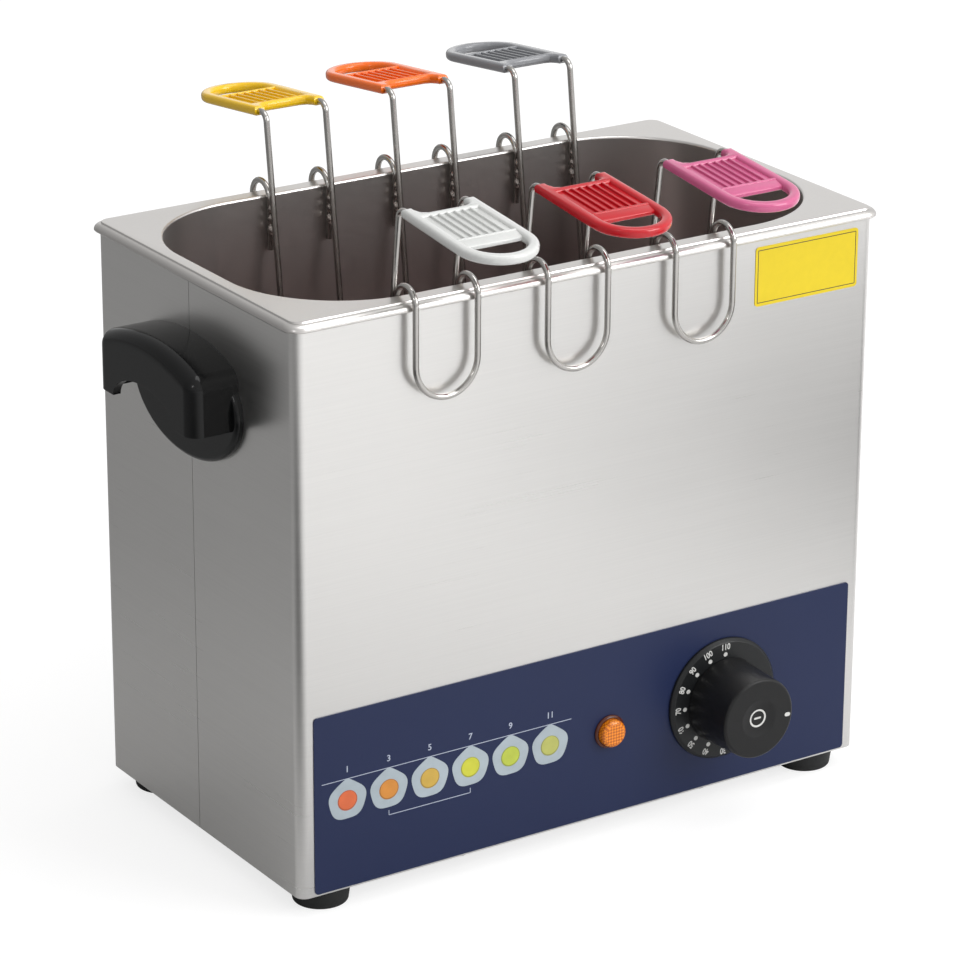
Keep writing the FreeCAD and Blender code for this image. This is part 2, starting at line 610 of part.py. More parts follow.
def control_panel():
    body = new_body("control_panel")
    low = "(foot_height + panel_lift)"
    film = rectangle(sketch(body, "film", "XZ_Plane", FRONT), "-panel_width / 2", "panel_width / 2",
                     low, f"{low} + panel_height")
    pad(body, "overlay", film, "panel_thickness")
    rounded(body, "corners", "panel_corner", lambda edge, b: near(b.YLength, size.panel_thickness))
    windows = sketch(body, "windows", "XZ_Plane", f"{FRONT} + panel_thickness")
    circle(windows, "lamp_x", "lamp_z", "lamp_barrel_radius + hole_clearance")
    circle(windows, "dial_x", "dial_z", "thermostat_screw_spread / 2 + screw_head_radius + hole_clearance")
    pocket(body, "cut_outs", windows)
    return body


def blank_label():
    body = new_body("blank_label")
    top = f"({CASING_TOP} - label_top_gap)"
    film = rectangle(sketch(body, "film", "XZ_Plane", FRONT), "label_centre_x - label_width / 2",
                     "label_centre_x + label_width / 2", f"{top} - label_height", top)
    pad(body, "sticker", film, "label_thickness")
    rounded(body, "corners", "panel_corner", lambda edge, b: near(b.YLength, size.label_thickness))
    return body


def lamp():
    place = ("lamp_x", f"-({FRONT} + panel_thickness)", "lamp_z")
    barrel = new_body("lamp_body")
    turned(barrel, "housing", [(0, "-lamp_barrel_length"), ("lamp_barrel_radius", "-lamp_barrel_length"),
                               ("lamp_barrel_radius", 0), ("lamp_ring_radius", 0),
                               ("lamp_ring_radius", "lamp_ring_height / 2"),
                               ("lamp_ring_radius - lamp_ring_height / 2", "lamp_ring_height"),
                               ("lamp_lens_radius + insert_clearance", "lamp_ring_height"),
                               ("lamp_lens_radius + insert_clearance", "lamp_ring_height / 4"),
                               (0, "lamp_ring_height / 4")])
    lens = new_body("lamp_lens")
    turned(lens, "dome", [(0, "lamp_ring_height / 4"), ("lamp_lens_radius", "lamp_ring_height / 4"),
                          ("lamp_lens_radius", "lamp_lens_height"), (0, "lamp_lens_height")])
    rounded(lens, "dome_edge", "lamp_lens_round", at_height(size.lamp_lens_height))
    return [seat(barrel, *place, OUT_FRONT), seat(lens, *place, OUT_FRONT)]


# ---- Dial, knob, thermostat ----------------------------------------------------------------------

def dial_bezel():
    body = new_body("dial_bezel")
    bore = "bushing_radius + hole_clearance"
    turned(body, "ring", [(bore, 0), ("bezel_radius", 0), ("bezel_radius", "bezel_thickness - bezel_bevel"),
                          ("bezel_radius - bezel_bevel", "bezel_thickness"), (bore, "bezel_thickness")])
    seats = sketch(body, "screw_seats", "XY_Plane", "bezel_thickness")
    holes = sketch(body, "screw_holes", "XY_Plane", "bezel_thickness")
    for a in (-1, 1):
        circle(seats, f"{a} * thermostat_screw_spread / 2", 0, "screw_head_radius + hole_clearance")
        circle(holes, f"{a} * thermostat_screw_spread / 2", 0, "screw_radius + hole_clearance")
    pocket(body, "sunk_seats", seats, "screw_head_height")
    pocket(body, "through_holes", holes)
    return seat(body, "dial_x", f"-({FRONT} + panel_thickness)", "dial_z", OUT_FRONT)


def knob():
    """Dished grip with a hollow back and a boss that takes the flatted shaft."""
    body = new_body("knob")
    turned(body, "grip", [(0, 0), ("knob_base_radius", 0),
                          ("knob_face_radius", "knob_length"), (0, "knob_length")])
    rounded(body, "face_edge", "knob_round", at_height(size.knob_length))
    dish = body.newObject("PartDesign::SubtractiveSphere", "dish")
    ball = "((knob_dish_radius ^ 2 + knob_dish_depth ^ 2) / (2 * knob_dish_depth))"
    bind(dish, "Radius", ball)
    bind(dish, "Placement.Base.z", f"knob_length - knob_dish_depth + {ball}")
    back = sketch(body, "back", "XY_Plane", 0)
    circle(back, 0, 0, "knob_base_radius - knob_wall")
    circle(back, 0, 0, "knob_boss_radius")
    pocket(body, "hollow_back", back, "knob_length - knob_dish_depth - knob_wall", along_normal=True)
    bore = circle(sketch(body, "bore", "XY_Plane", 0), 0, 0, "shaft_radius + insert_clearance")
    pocket(body, "shaft_bore", bore, "shaft_engagement", along_normal=True)
    flat = sketch(body, "flat", "XY_Plane", 0)
    rectangle(flat, "-shaft_radius", "shaft_radius", "shaft_radius - shaft_flat + insert_clearance",
              "(shaft_radius + knob_boss_radius) / 2")
    pad(body, "bore_flat", flat, "shaft_engagement")
    return seat(body, "dial_x", f"-({BEZEL_FACE} + knob_gap)", "dial_z", OUT_FRONT)


def thermostat_shaft():
    front_end = f"({BEZEL_FACE} + knob_gap + shaft_engagement - insert_clearance)"
    back_end = f"({FRONT} - casing_sheet - shaft_in_body)"
    rod = cylinder("shaft_rod", "shaft_radius", f"{front_end} - {back_end}",
                   "dial_x", f"-{back_end}", "dial_z", OUT_FRONT)
    flat = box("shaft_flat_cut", "2 * shaft_radius", "shaft_engagement", "shaft_flat + 1", "dial_x",
               f"-({front_end} - shaft_engagement / 2)", "dial_z + shaft_radius - shaft_flat")
    return cut("thermostat_shaft", rod, flat)


def thermostat():
    face = f"({FRONT} - casing_sheet)"
    case = box("thermostat_case", "thermostat_width", "thermostat_length", "thermostat_height",
               "dial_x", f"-({face} - thermostat_length / 2)", "dial_z - thermostat_height / 2")
    bushing = cylinder("thermostat_bushing", "bushing_radius", "bushing_length",
                       "dial_x", f"-{face}", "dial_z", OUT_FRONT)
    bores = [cylinder("thermostat_bore", "shaft_radius + shaft_clearance",
                      "bushing_length + shaft_in_body + shaft_clearance",
                      "dial_x", f"-({face} - shaft_in_body - shaft_clearance)", "dial_z", OUT_FRONT)]
    screw_length = ("bezel_thickness - screw_head_height + panel_thickness + casing_sheet"
                    " + thermostat_screw_depth - screw_tail")
    screws = []
    for n, a in enumerate((-1, 1), 1):
        x = f"dial_x + {a} * thermostat_screw_spread / 2"
        bores.append(cylinder(f"thermostat_tapping_{n}", "screw_radius + insert_clearance",
                              "thermostat_screw_depth",
                              x, f"-({face} - thermostat_screw_depth)", "dial_z", OUT_FRONT))
        screws.append(screw(f"thermostat_screw_{n}", x, f"-({BEZEL_FACE} - screw_head_height)", "dial_z",
                            screw_length, OUT_BACK))
    tank_floor = f"({TANK_UNDERSIDE} - under_gap)"
    bulb = cylinder("bulb_tube", "bulb_radius", "bulb_length", "bulb_x", "bulb_y",
                    f"{tank_floor} - bulb_radius", Rotation(Vector(0, 1, 0), 90))
    tip = doc.addObject("Part::Sphere", "bulb_tip")
    bind(tip, "Radius", "bulb_radius")
    seat(tip, "bulb_x + bulb_length", "bulb_y", f"{tank_floor} - bulb_radius")
    solid = fused("thermostat_solid", [case, bushing])
    return [cut("thermostat_body", solid, fused("thermostat_bores", bores)),
            grouped("thermostat_screws", screws), fused("thermostat_bulb", [bulb, tip])]


def capillary():
    """Thin tube from the back of the thermostat up to the end of its bulb."""
    back = size.thermostat_length + size.casing_sheet - size.casing_depth / 2
    bulb_z = top_of("pan_floor") - size.under_gap - size.bulb_radius
    level = size.dial_z + size.capillary_level * (bulb_z - size.dial_z)
    riser_x = size.bulb_x - size.capillary_overrun
    points = [Vector(size.dial_x, back, size.dial_z),
              Vector(size.dial_x, back + size.capillary_setback, size.dial_z),
              Vector(size.dial_x, back + size.capillary_setback, level),
              Vector(riser_x, size.bulb_y, level),
              Vector(riser_x, size.bulb_y, bulb_z),
              Vector(size.bulb_x, size.bulb_y, bulb_z)]
    path = bent(points, [size.capillary_bend] * 4)
    return plain("thermostat_capillary", drawn(path, size.capillary_radius))


def bulb_clip():
    """A strap under the bulb with a tab either side against the tank's floor."""
    x, half = "(bulb_x + bulb_length / 2)", "(bulb_radius + under_gap)"
    drop = f"(2 * {half} - under_gap + clip_sheet)"
    outside = box("clip_outside", "clip_width", f"2 * ({half} + clip_sheet)", drop,
                  x, "bulb_y", f"{TANK_UNDERSIDE} - {drop}")
    inside = box("clip_inside", "2 * clip_width", f"2 * {half}", drop,
                 x, "bulb_y", f"{TANK_UNDERSIDE} - {drop} + clip_sheet")
    tabs = [box(f"clip_tab_{n}", "clip_width", "clip_tab", "clip_sheet",
                x, f"bulb_y + {a} * ({half} + (clip_tab + clip_sheet) / 2)", f"{TANK_UNDERSIDE} - clip_sheet")
            for n, a in enumerate((-1, 1), 1)]
    return fused("bulb_clip", [cut("clip_channel", outside, inside)] + tabs)


# ---- Under the tank: element, clamps, cut-out; on the base: terminals, earth, gland --------------

def heating_element():
    """A tubular element bent to a loop on the tank's floor, its two cold legs turned down."""
    z = top_of("pan_floor") - size.under_gap - size.element_radius
    x, y, leg = size.element_length / 2, size.element_width / 2, size.element_leg_spread / 2
    leg_end = z - size.element_leg_drop
    points = [Vector(-leg, -y, leg_end), Vector(-leg, -y, z), Vector(-x, -y, z), Vector(-x, y, z),
              Vector(x, y, z), Vector(x, -y, z), Vector(leg, -y, z), Vector(leg, -y, leg_end)]
    bends = [size.element_leg_bend] + [size.element_bend] * 4 + [size.element_leg_bend]
    return plain("heating_element", drawn(bent(points, bends), size.element_radius))


def element_clamps():
    bars, studs = [], []
    under = f"({TANK_UNDERSIDE} - 2 * under_gap - 2 * element_radius)"
    length = f"({TANK_UNDERSIDE} - {under} + clamp_thickness + nut_height + screw_tail)"
    for n, a in enumerate((-1, 1), 1):
        x = f"{a} * clamp_x"
        bar = box(f"clamp_bar_{n}", "clamp_width", "element_width + 4 * element_radius", "clamp_thickness",
                  x, 0, f"{under} - clamp_thickness")
        hole = cylinder(f"clamp_hole_{n}", "screw_radius + hole_clearance", "3 * clamp_thickness",
                        x, 0, f"{under} - 2 * clamp_thickness")
        bars.append(cut(f"clamp_{n}", bar, hole))
        studs += [cylinder(f"clamp_stud_{n}", "screw_radius", length, x, 0, f"{TANK_UNDERSIDE} - {length}"),
                  nut(f"clamp_nut_{n}", x, 0, f"{under} - clamp_thickness - nut_height")]
    return [grouped("element_clamps", bars), grouped("clamp_studs", studs)]


def thermal_cutout():
    can_bottom = f"{TANK_UNDERSIDE} - cutout_height"
    can = cylinder("cutout_can", "cutout_radius", "cutout_height", "cutout_x", "cutout_y", can_bottom)
    flange = box("cutout_flange_plate", "cutout_flange", "cutout_radius", "clip_sheet",
                 "cutout_x", "cutout_y", f"{TANK_UNDERSIDE} - clip_sheet")
    blades = [box(f"cutout_blade_{n}", "clip_sheet", "blade_width", "blade_length",
                  f"cutout_x + {a} * cutout_radius / 2", "cutout_y", f"{can_bottom} - blade_length")
              for n, a in enumerate((-1, 1), 1)]
    return fused("thermal_cutout", [can, flange] + blades)


def terminal_block():
    floor = "(foot_height + 2 * casing_sheet)"
    block = box("terminal_moulding", "terminal_pitch * terminal_count", "terminal_depth", "terminal_height",
                "terminal_x", "terminal_y", floor)
    wells = []
    for n in range(int(size.terminal_count)):
        x = f"terminal_x + terminal_pitch * ({n} - (terminal_count - 1) / 2)"
        for row, b in ROWS.items():
            wells.append(cylinder(f"terminal_well_{n}_{row}", "terminal_pitch / 4", "terminal_height",
                                  x, f"terminal_y + {b} * terminal_depth / 4",
                                  f"{floor} + terminal_height / 2"))
    return cut("terminal_block", block, fused("terminal_wells", wells))


def earth_stud():
    low = "(foot_height + 2 * casing_sheet)"
    stud = cylinder("earth_rod", "earth_radius", "earth_length",
                    "earth_x", "earth_y", "foot_height + casing_sheet")
    collar = hexagon("earth_collar", "earth_nut_radius", "nut_height", "earth_x", "earth_y", low)
    return fused("earth_stud", [stud, collar])


def cord_gland():
    """Threaded body through the back wall, its clamping cap outside and its locknut inside."""
    place = ("gland_x", FRONT, "gland_z")
    thread = cylinder("gland_thread", "gland_thread_radius", "gland_thread_inside", z="-gland_thread_inside")
    flange = hexagon("gland_hexagon", "gland_hex_radius", "gland_hex_height")
    throat = cylinder("gland_throat", "gland_bore", "2 * (gland_thread_inside + gland_hex_height)",
                      z="-2 * gland_thread_inside")
    body = seat(cut("gland_body", fused("gland_solid", [thread, flange]), throat), *place, OUT_BACK)
    cap = new_body("gland_cap")
    start = "gland_hex_height"
    turned(cap, "dome_nut", [("gland_bore", start), ("gland_cap_radius", start),
                             ("gland_cap_radius", f"{start} + gland_cap_straight"),
                             ("gland_mouth_radius", f"{start} + gland_cap_length"),
                             ("gland_bore", f"{start} + gland_cap_length")])
    rounded(cap, "dome", "gland_cap_round", at_height(size.gland_hex_height + size.gland_cap_straight))
    seat(cap, *place, OUT_BACK)
    ring = hexagon("locknut_hexagon", "gland_hex_radius", "nut_height", z="-casing_sheet - nut_height")
    hole = cylinder("locknut_thread", "gland_thread_radius + insert_clearance", "3 * nut_height",
                    z="-casing_sheet - 2 * nut_height")
    return [body, cap, seat(cut("gland_locknut", ring, hole), *place, OUT_BACK)]


# ---- Egg holders: a wire frame with a cup ring, a hook over the rim and a moulded grip -----------

def holder_sizes():
    """Where the holder's wires run, for a holder at the front; numbers along -Y and up."""
    rim = top_of("rim")
    leg = size.opening_width / 2 - size.hook_gap - size.wire_radius
    loop = size.casing_depth / 2 + size.rim_overhang + size.lip_gap + size.wire_radius
    arch = (loop - leg) / 2
    # the arch is lowered until it lies just over the rounded edge of the tank's mouth
    across = leg + arch - size.opening_width / 2 - size.opening_edge
    reach = arch - size.wire_radius - size.opening_edge - size.hook_seat_gap
    arch_z = rim - size.opening_edge - math.sqrt(max(reach ** 2 - across ** 2, 0))
    lean = math.tan(math.radians(size.upright_lean))

    def upright(z):
        return leg - 2 * size.wire_radius - size.weld_gap + lean * (z - arch_z)

    top, low = rim + size.grip_rise, rim - size.seat_drop
    ring_z = low + size.ring_height
    apart = size.ring_radius + size.wire_radius + size.ring_wire_radius + size.weld_gap
    ring_y = upright(ring_z) - math.sqrt(apart ** 2 - size.wire_half_gap ** 2)
    return SimpleNamespace(rim=rim, leg=leg, loop=loop, arch=arch, arch_z=arch_z, upright=upright, top=top,
                           low=low, ring_z=ring_z, ring_y=ring_y)


def mirrored_path(half, bends):
    """Completes a symmetrical path from its left half."""
    other = [Vector(-p.x, p.y, p.z) for p in reversed(half)]
    return bent(half + other, bends + bends[::-1])


def holder_frame(label, place):
    s, gap = holder_sizes(), size.wire_half_gap
    droop = math.radians(size.grip_droop)
    inside = size.grip_start + size.wire_insert
    high, deep = s.upright(s.top), s.upright(s.low)
    half = [Vector(-gap, -high - inside * math.cos(droop), s.top - inside * math.sin(droop)),
            Vector(-gap, -high, s.top),
            Vector(-gap, -deep, s.low),
            Vector(-gap, size.seat_reach - deep, s.low)]
    path = mirrored_path(half, [size.bend_radius, size.bend_radius, gap])
    return plain(label, drawn(path, size.wire_radius), place)


def holder_hook(label, place):
    s, gap = holder_sizes(), size.wire_half_gap
    crown, bottom = s.arch_z + s.arch, s.rim - size.loop_drop
    half = [Vector(-gap, -s.leg, s.arch_z - size.hook_leg), Vector(-gap, -s.leg, crown),
            Vector(-gap, -s.loop, crown), Vector(-gap, -s.loop, bottom)]
    return plain(label, drawn(mirrored_path(half, [s.arch, s.arch, gap]), size.wire_radius), place)


def holder_ring(label, place):
    s = holder_sizes()
    ring = doc.addObject("Part::Torus", label)
    bind(ring, "Radius1", "ring_radius")
    bind(ring, "Radius2", "ring_wire_radius")
    ring.Placement = place * Placement(Vector(0, -s.ring_y, s.ring_z), Rotation())
    return ring


def holder_grip(label, place):
    """Moulded tab with two ears on the wires, a ribbed field, a cross bar and a finger bow."""
    body = new_body(label)
    ear_in, ear_out = "(wire_half_gap - ear_half_width)", "(wire_half_gap + ear_half_width)"
    start, ear_end = "(-grip_start)", "(-grip_start - ear_length)"
    shoulder = "(-grip_start - grip_shoulder)"
    bow = "(grip_half_width - grip_start - grip_length)"
    wide = "grip_half_width"
    upper, under = "grip_thickness / 2", "-grip_thickness / 2"
    slab = polygon(sketch(body, "outline", "XY_Plane", under), [
        (f"-{ear_out}", start), (f"-{ear_in}", start), (f"-{ear_in}", ear_end), (ear_in, ear_end),
        (ear_in, start), (ear_out, start), (wide, shoulder), (wide, bow), (f"-{wide}", bow),
        (f"-{wide}", shoulder)])
    pad(body, "slab", slab, "grip_thickness")
    rim = circle(sketch(body, "bow_outline", "XY_Plane", under), 0, bow, wide)
    pad(body, "bow", rim, "grip_thickness")
    slot = circle(sketch(body, "slot", "XY_Plane", upper), 0, bow, f"{wide} - bow_band")
    pocket(body, "finger_slot", slot)
    bar = rectangle(sketch(body, "bar", "XY_Plane", under), f"bow_band - {wide}", f"{wide} - bow_band",
                    "-grip_start - bar_end", f"{bow} + {wide} - bow_band")
    pad(body, "cross_bar", bar, "grip_thickness")
    half = size.grip_thickness / 2
    crotch = -size.grip_start - size.ear_length
    rounded(body, "crotch", "ear_round", lambda edge, b: is_upright(edge, b) and near(b.YMax, crotch))
    rounded(body, "soft_edges", "grip_round",
            lambda edge, b: near(b.ZMin, b.ZMax) and near(abs(b.ZMin), half))
    field = ("-field_half_width", "field_half_width", "-grip_start - field_end", "-grip_start - field_start")
    top_field = rectangle(sketch(body, "top_field", "XY_Plane", upper), *field)
    pocket(body, "top_recess", top_field, "field_depth")
    under_field = rectangle(sketch(body, "under_field", "XY_Plane", under), *field)
    pocket(body, "under_recess", under_field, "field_depth", along_normal=True)
    pitch = "(2 * field_half_width / (rib_count + 1))"
    first = f"({pitch} - field_half_width)"
    rib = rectangle(sketch(body, "rib", "XY_Plane", f"{upper} - field_depth"),
                    f"{first} - rib_width / 2", f"{first} + rib_width / 2", field[2], field[3])
    row_of(body, "ribs", pad(body, "first_rib", rib, "rib_height"), "H_Axis", pitch, "rib_count")
    bores = sketch(body, "bores", "XZ_Plane", "grip_start")
    for a in (-1, 1):
        circle(bores, f"{a} * wire_half_gap", 0, "wire_radius + insert_clearance")
    pocket(body, "wire_bores", bores, "wire_insert + insert_clearance", along_normal=True)
    s = holder_sizes()
    tilt = Rotation(Vector(1, 0, 0), size.grip_droop)
    body.Placement = place * Placement(Vector(0, -s.upright(s.top), s.top), tilt)
    return body


def holders():
    made = []
    for shift, turn, colours in ((size.front_shift, Rotation(), ("white", "red", "pink")),
                                 (size.back_shift, HALF_TURN, ("yellow", "orange", "grey"))):
        for n, colour in enumerate(colours):
            place = Placement(Vector(shift + (n - 1) * size.holder_pitch, 0, 0), turn)
            name = f"{colour}_holder"
            made += [holder_frame(f"{name}_frame", place), holder_hook(f"{name}_hook", place),
                     holder_ring(f"{name}_ring", place), holder_grip(f"{name}_grip", place)]
    return made


# ---- Build, check, write -------------------------------------------------------------------------

pieces = [front_shell(), rear_shell(), base_plate(), tank()]
pieces += feet_and_base_screws() + [doc.getObject(label) for label in FOOT_PLACES]
pieces += [handle("handle_left", -1), handle("handle_right", 1), handle_screws()]
pieces += [control_panel(), blank_label(), dial_bezel(), knob(), thermostat_shaft()]
pieces += lamp() + thermostat() + [capillary(), bulb_clip(), heating_element()]
pieces += element_clamps() + [thermal_cutout(), terminal_block(), earth_stud()]
pieces += cord_gland() + holders()
doc.recompute()

for thing in doc.Objects:
    if {"Invalid", "Error"} & set(thing.State):
        raise RuntimeError(f"{thing.Name} failed: {thing.State}")
os.makedirs("parts", exist_ok=True)
for piece in pieces:
    if piece.Shape.isNull() or not piece.Shape.isValid() or not piece.Shape.Solids:
        raise RuntimeError(f"{piece.Label} has no sound shape")
    piece.Shape.exportStep(f"parts/{piece.Label}.step")
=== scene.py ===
from math import cos, exp, hypot, pi, radians, sin, sqrt, tan

import bmesh
import bpy
from mathutils import Matrix, Quaternion, Vector


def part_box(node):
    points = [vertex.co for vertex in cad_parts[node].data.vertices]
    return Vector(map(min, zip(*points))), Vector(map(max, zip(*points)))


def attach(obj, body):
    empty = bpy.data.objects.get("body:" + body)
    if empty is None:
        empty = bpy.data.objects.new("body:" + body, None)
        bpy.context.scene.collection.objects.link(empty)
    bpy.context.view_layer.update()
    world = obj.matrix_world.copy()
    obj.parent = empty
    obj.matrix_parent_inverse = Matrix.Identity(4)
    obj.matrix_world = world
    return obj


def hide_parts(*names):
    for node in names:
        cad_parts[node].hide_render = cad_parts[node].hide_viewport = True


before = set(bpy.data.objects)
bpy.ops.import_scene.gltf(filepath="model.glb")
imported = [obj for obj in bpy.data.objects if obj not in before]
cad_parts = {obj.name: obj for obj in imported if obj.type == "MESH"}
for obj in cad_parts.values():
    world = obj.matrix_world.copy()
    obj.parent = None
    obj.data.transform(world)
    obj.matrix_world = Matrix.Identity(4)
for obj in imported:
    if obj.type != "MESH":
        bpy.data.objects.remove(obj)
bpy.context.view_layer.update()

scene = bpy.context.scene
scene.view_settings.view_transform = "Standard"


# ---- Camera --------------------------------------------------------------------------------------
# A long lens stands to the front left and above, as someone sees the boiler from across a counter.
# The angles are those of the line from the boiler to the lens.

lens = bpy.data.cameras.new("counter_view")
lens.sensor_width = 36
lens.lens = 159.84
camera = bpy.data.objects.new("counter_view", lens)
scene.collection.objects.link(camera)
scene.camera = camera
camera.location = (-1.06974, -1.62075, 0.89755)
azimuth, elevation, roll = radians(-33.3355), radians(20.8868), radians(0.2594)
backwards = Vector((sin(azimuth) * cos(elevation), -cos(azimuth) * cos(elevation), sin(elevation)))
camera.rotation_mode = "QUATERNION"
camera.rotation_quaternion = (-backwards).to_track_quat("-Z", "Y") @ Quaternion((0, 0, 1), roll)


# ---- Floor and light -----------------------------------------------------------------------------
# The boiler stands on a white paper sweep among three soft boxes. The room is bright to the front
# right, dim to the back left, and has a low bright wall behind. As the steel mirrors it, the paper's
# colour is painted shade: dimmer towards the back left, with two painted darker patches that shade
# the left side and the right end of the front.

def add_node(tree, kind, sockets=(), **settings):
    """One node of a tree; each socket takes a value or another node's output."""
    made = tree.nodes.new(kind)
    for setting, value in settings.items():
        setattr(made, setting, value)
    for socket, value in dict(sockets).items():
        if isinstance(value, bpy.types.NodeSocket):
            tree.links.new(value, made.inputs[socket])
        else:
            made.inputs[socket].default_value = value
    return made


def soft_box(name, place, aim, width, height, power):
    """An oblong lamp at a place, turned towards what it aims at."""
    box = bpy.data.lights.new(name, "AREA")
    box.shape = "RECTANGLE"
    box.size, box.size_y = width, height
    box.energy = power
    made = bpy.data.objects.new(name, box)
    scene.collection.objects.link(made)
    made.location = place
    made.rotation_euler = (Vector(aim) - Vector(place)).to_track_quat("-Z", "Y").to_euler()


soft_box("front_box", (1.5, -2.1, 1.5), (0, 0, 0.1), 1.6, 1.6, 38)
soft_box("top_box", (0.5, -0.4, 2.4), (0, 0, 0.2), 1.4, 1.4, 14)
soft_box("left_box", (-2.2, -1.5, 1.5), (0, 0, 0.25), 0.35, 0.5, 4)

BRIGHT_SIDE, BEHIND = (0.75, -0.62, 0.22), (0.53, 0.83, 0.15)
ROOM_DIM, ROOM_BRIGHT = 0.3, 1.0
WALL_GLOW, WALL_EDGE, WALL_FULL = 0.4, 0.93, 0.985    # how far round BEHIND the wall reaches, as cosines
sky = bpy.data.worlds.new("studio")
scene.world = sky
sky.use_nodes = True
sky_tree = sky.node_tree
way = add_node(sky_tree, "ShaderNodeTexCoord").outputs["Generated"]
facing = add_node(sky_tree, "ShaderNodeVectorMath", {0: way, 1: BRIGHT_SIDE}, operation="DOT_PRODUCT")
room = add_node(sky_tree, "ShaderNodeMapRange", {"Value": facing.outputs["Value"], "From Min": -1.0,
                                                 "To Min": ROOM_DIM, "To Max": ROOM_BRIGHT})
wall = add_node(sky_tree, "ShaderNodeVectorMath", {0: way, 1: BEHIND}, operation="DOT_PRODUCT")
wall_glow = add_node(sky_tree, "ShaderNodeMapRange", {"Value": wall.outputs["Value"],
                                                      "From Min": WALL_EDGE, "From Max": WALL_FULL,
                                                      "To Max": WALL_GLOW})
lit = add_node(sky_tree, "ShaderNodeMath", {0: room.outputs["Result"], 1: wall_glow.outputs["Result"]})
seen = add_node(sky_tree, "ShaderNodeLightPath").outputs["Is Camera Ray"]
strength = add_node(sky_tree, "ShaderNodeMix", {"Factor": seen, "A": lit.outputs["Value"], "B": 1.0})
sky_tree.links.new(strength.outputs["Result"], sky_tree.nodes["Background"].inputs["Strength"])
sky_tree.nodes["Background"].inputs["Color"].default_value = (1, 1, 1, 1)

REACH = 14
PAPER_LIT, PAPER_GLOW = 0.32, 0.75    # the paper as it is looked at: partly lit, partly glowing
PAPER_DIM, PAPER_BRIGHT = 0.33, 0.92  # painted shade on the paper as steel mirrors it, from the dim to the bright side
DIM_UP_TO, BRIGHT_FROM = -0.5, 0.45   # and where the one ends and the other starts, towards BRIGHT_SIDE
# each patch of painted shade: its middle, the light left there, and where it starts and ends to fade
PAINTED_SHADE_PATCHES = (((-0.52, -0.34, 0), 0.1, 0.1, 0.40), ((0.63, -0.45, 0), 0.22, 0.12, 0.46))
sweep_mesh = bpy.data.meshes.new("white_sweep")
sweep_mesh.from_pydata([(-REACH, -REACH, 0), (REACH, -REACH, 0), (REACH, REACH, 0), (-REACH, REACH, 0)],
                       [], [(0, 1, 2, 3)])
sweep = bpy.data.objects.new("white_sweep", sweep_mesh)
scene.collection.objects.link(sweep)
paper = bpy.data.materials.new("white_paper")
paper.use_nodes = True
paper_tree = paper.node_tree
paper_shader = paper_tree.nodes["Principled BSDF"]
paper_shader.inputs["Roughness"].default_value = 0.9
paper_shader.inputs["Specular IOR Level"].default_value = 0.1
paper_shader.inputs["Emission Color"].default_value = (1, 1, 1, 1)
looked_at = add_node(paper_tree, "ShaderNodeLightPath").outputs["Is Camera Ray"]
floor_place = add_node(paper_tree, "ShaderNodeTexCoord").outputs["Object"]
forward = add_node(paper_tree, "ShaderNodeVectorMath", {0: floor_place, 1: BRIGHT_SIDE},
                   operation="DOT_PRODUCT")
dimmed = add_node(paper_tree, "ShaderNodeMapRange", {"Value": forward.outputs["Value"],
                                                     "From Min": DIM_UP_TO, "From Max": BRIGHT_FROM,
                                                     "To Min": PAPER_DIM, "To Max": PAPER_BRIGHT})
# the paper's colour in reflections, painted darker as shade; the camera still sees it white
cast = dimmed.outputs["Result"]
for spot, least, start, end in PAINTED_SHADE_PATCHES:
    away = add_node(paper_tree, "ShaderNodeVectorMath", {0: floor_place, 1: spot}, operation="DISTANCE")
    part = add_node(paper_tree, "ShaderNodeMapRange", {"Value": away.outputs["Value"], "From Min": start,
                                                       "From Max": end, "To Min": least})
    cast = add_node(paper_tree, "ShaderNodeMath", {0: cast, 1: part.outputs["Result"]},
                    operation="MULTIPLY").outputs["Value"]
shade = add_node(paper_tree, "ShaderNodeMix", {"Factor": looked_at, "A": cast, "B": PAPER_LIT})
glow = add_node(paper_tree, "ShaderNodeMath", {0: looked_at, 1: PAPER_GLOW}, operation="MULTIPLY")
paper_tree.links.new(shade.outputs["Result"], paper_shader.inputs["Base Color"])
paper_tree.links.new(glow.outputs[0], paper_shader.inputs["Emission Strength"])
sweep_mesh.materials.append(paper)


# ---- Casing --------------------------------------------------------------------------------------
# Two U-shaped sheets of 1 mm stainless steel, brushed along their length and bent over a radius.
# They meet in a butt seam on the middle of each side, over strips that the rear sheet carries.

NOISE_LEAST, NOISE_MOST = 0.3, 0.7   # nearly all that a noise texture gives lies between these
BROAD_SHARE = 0.4                    # the part of a finish that follows its broad unevenness


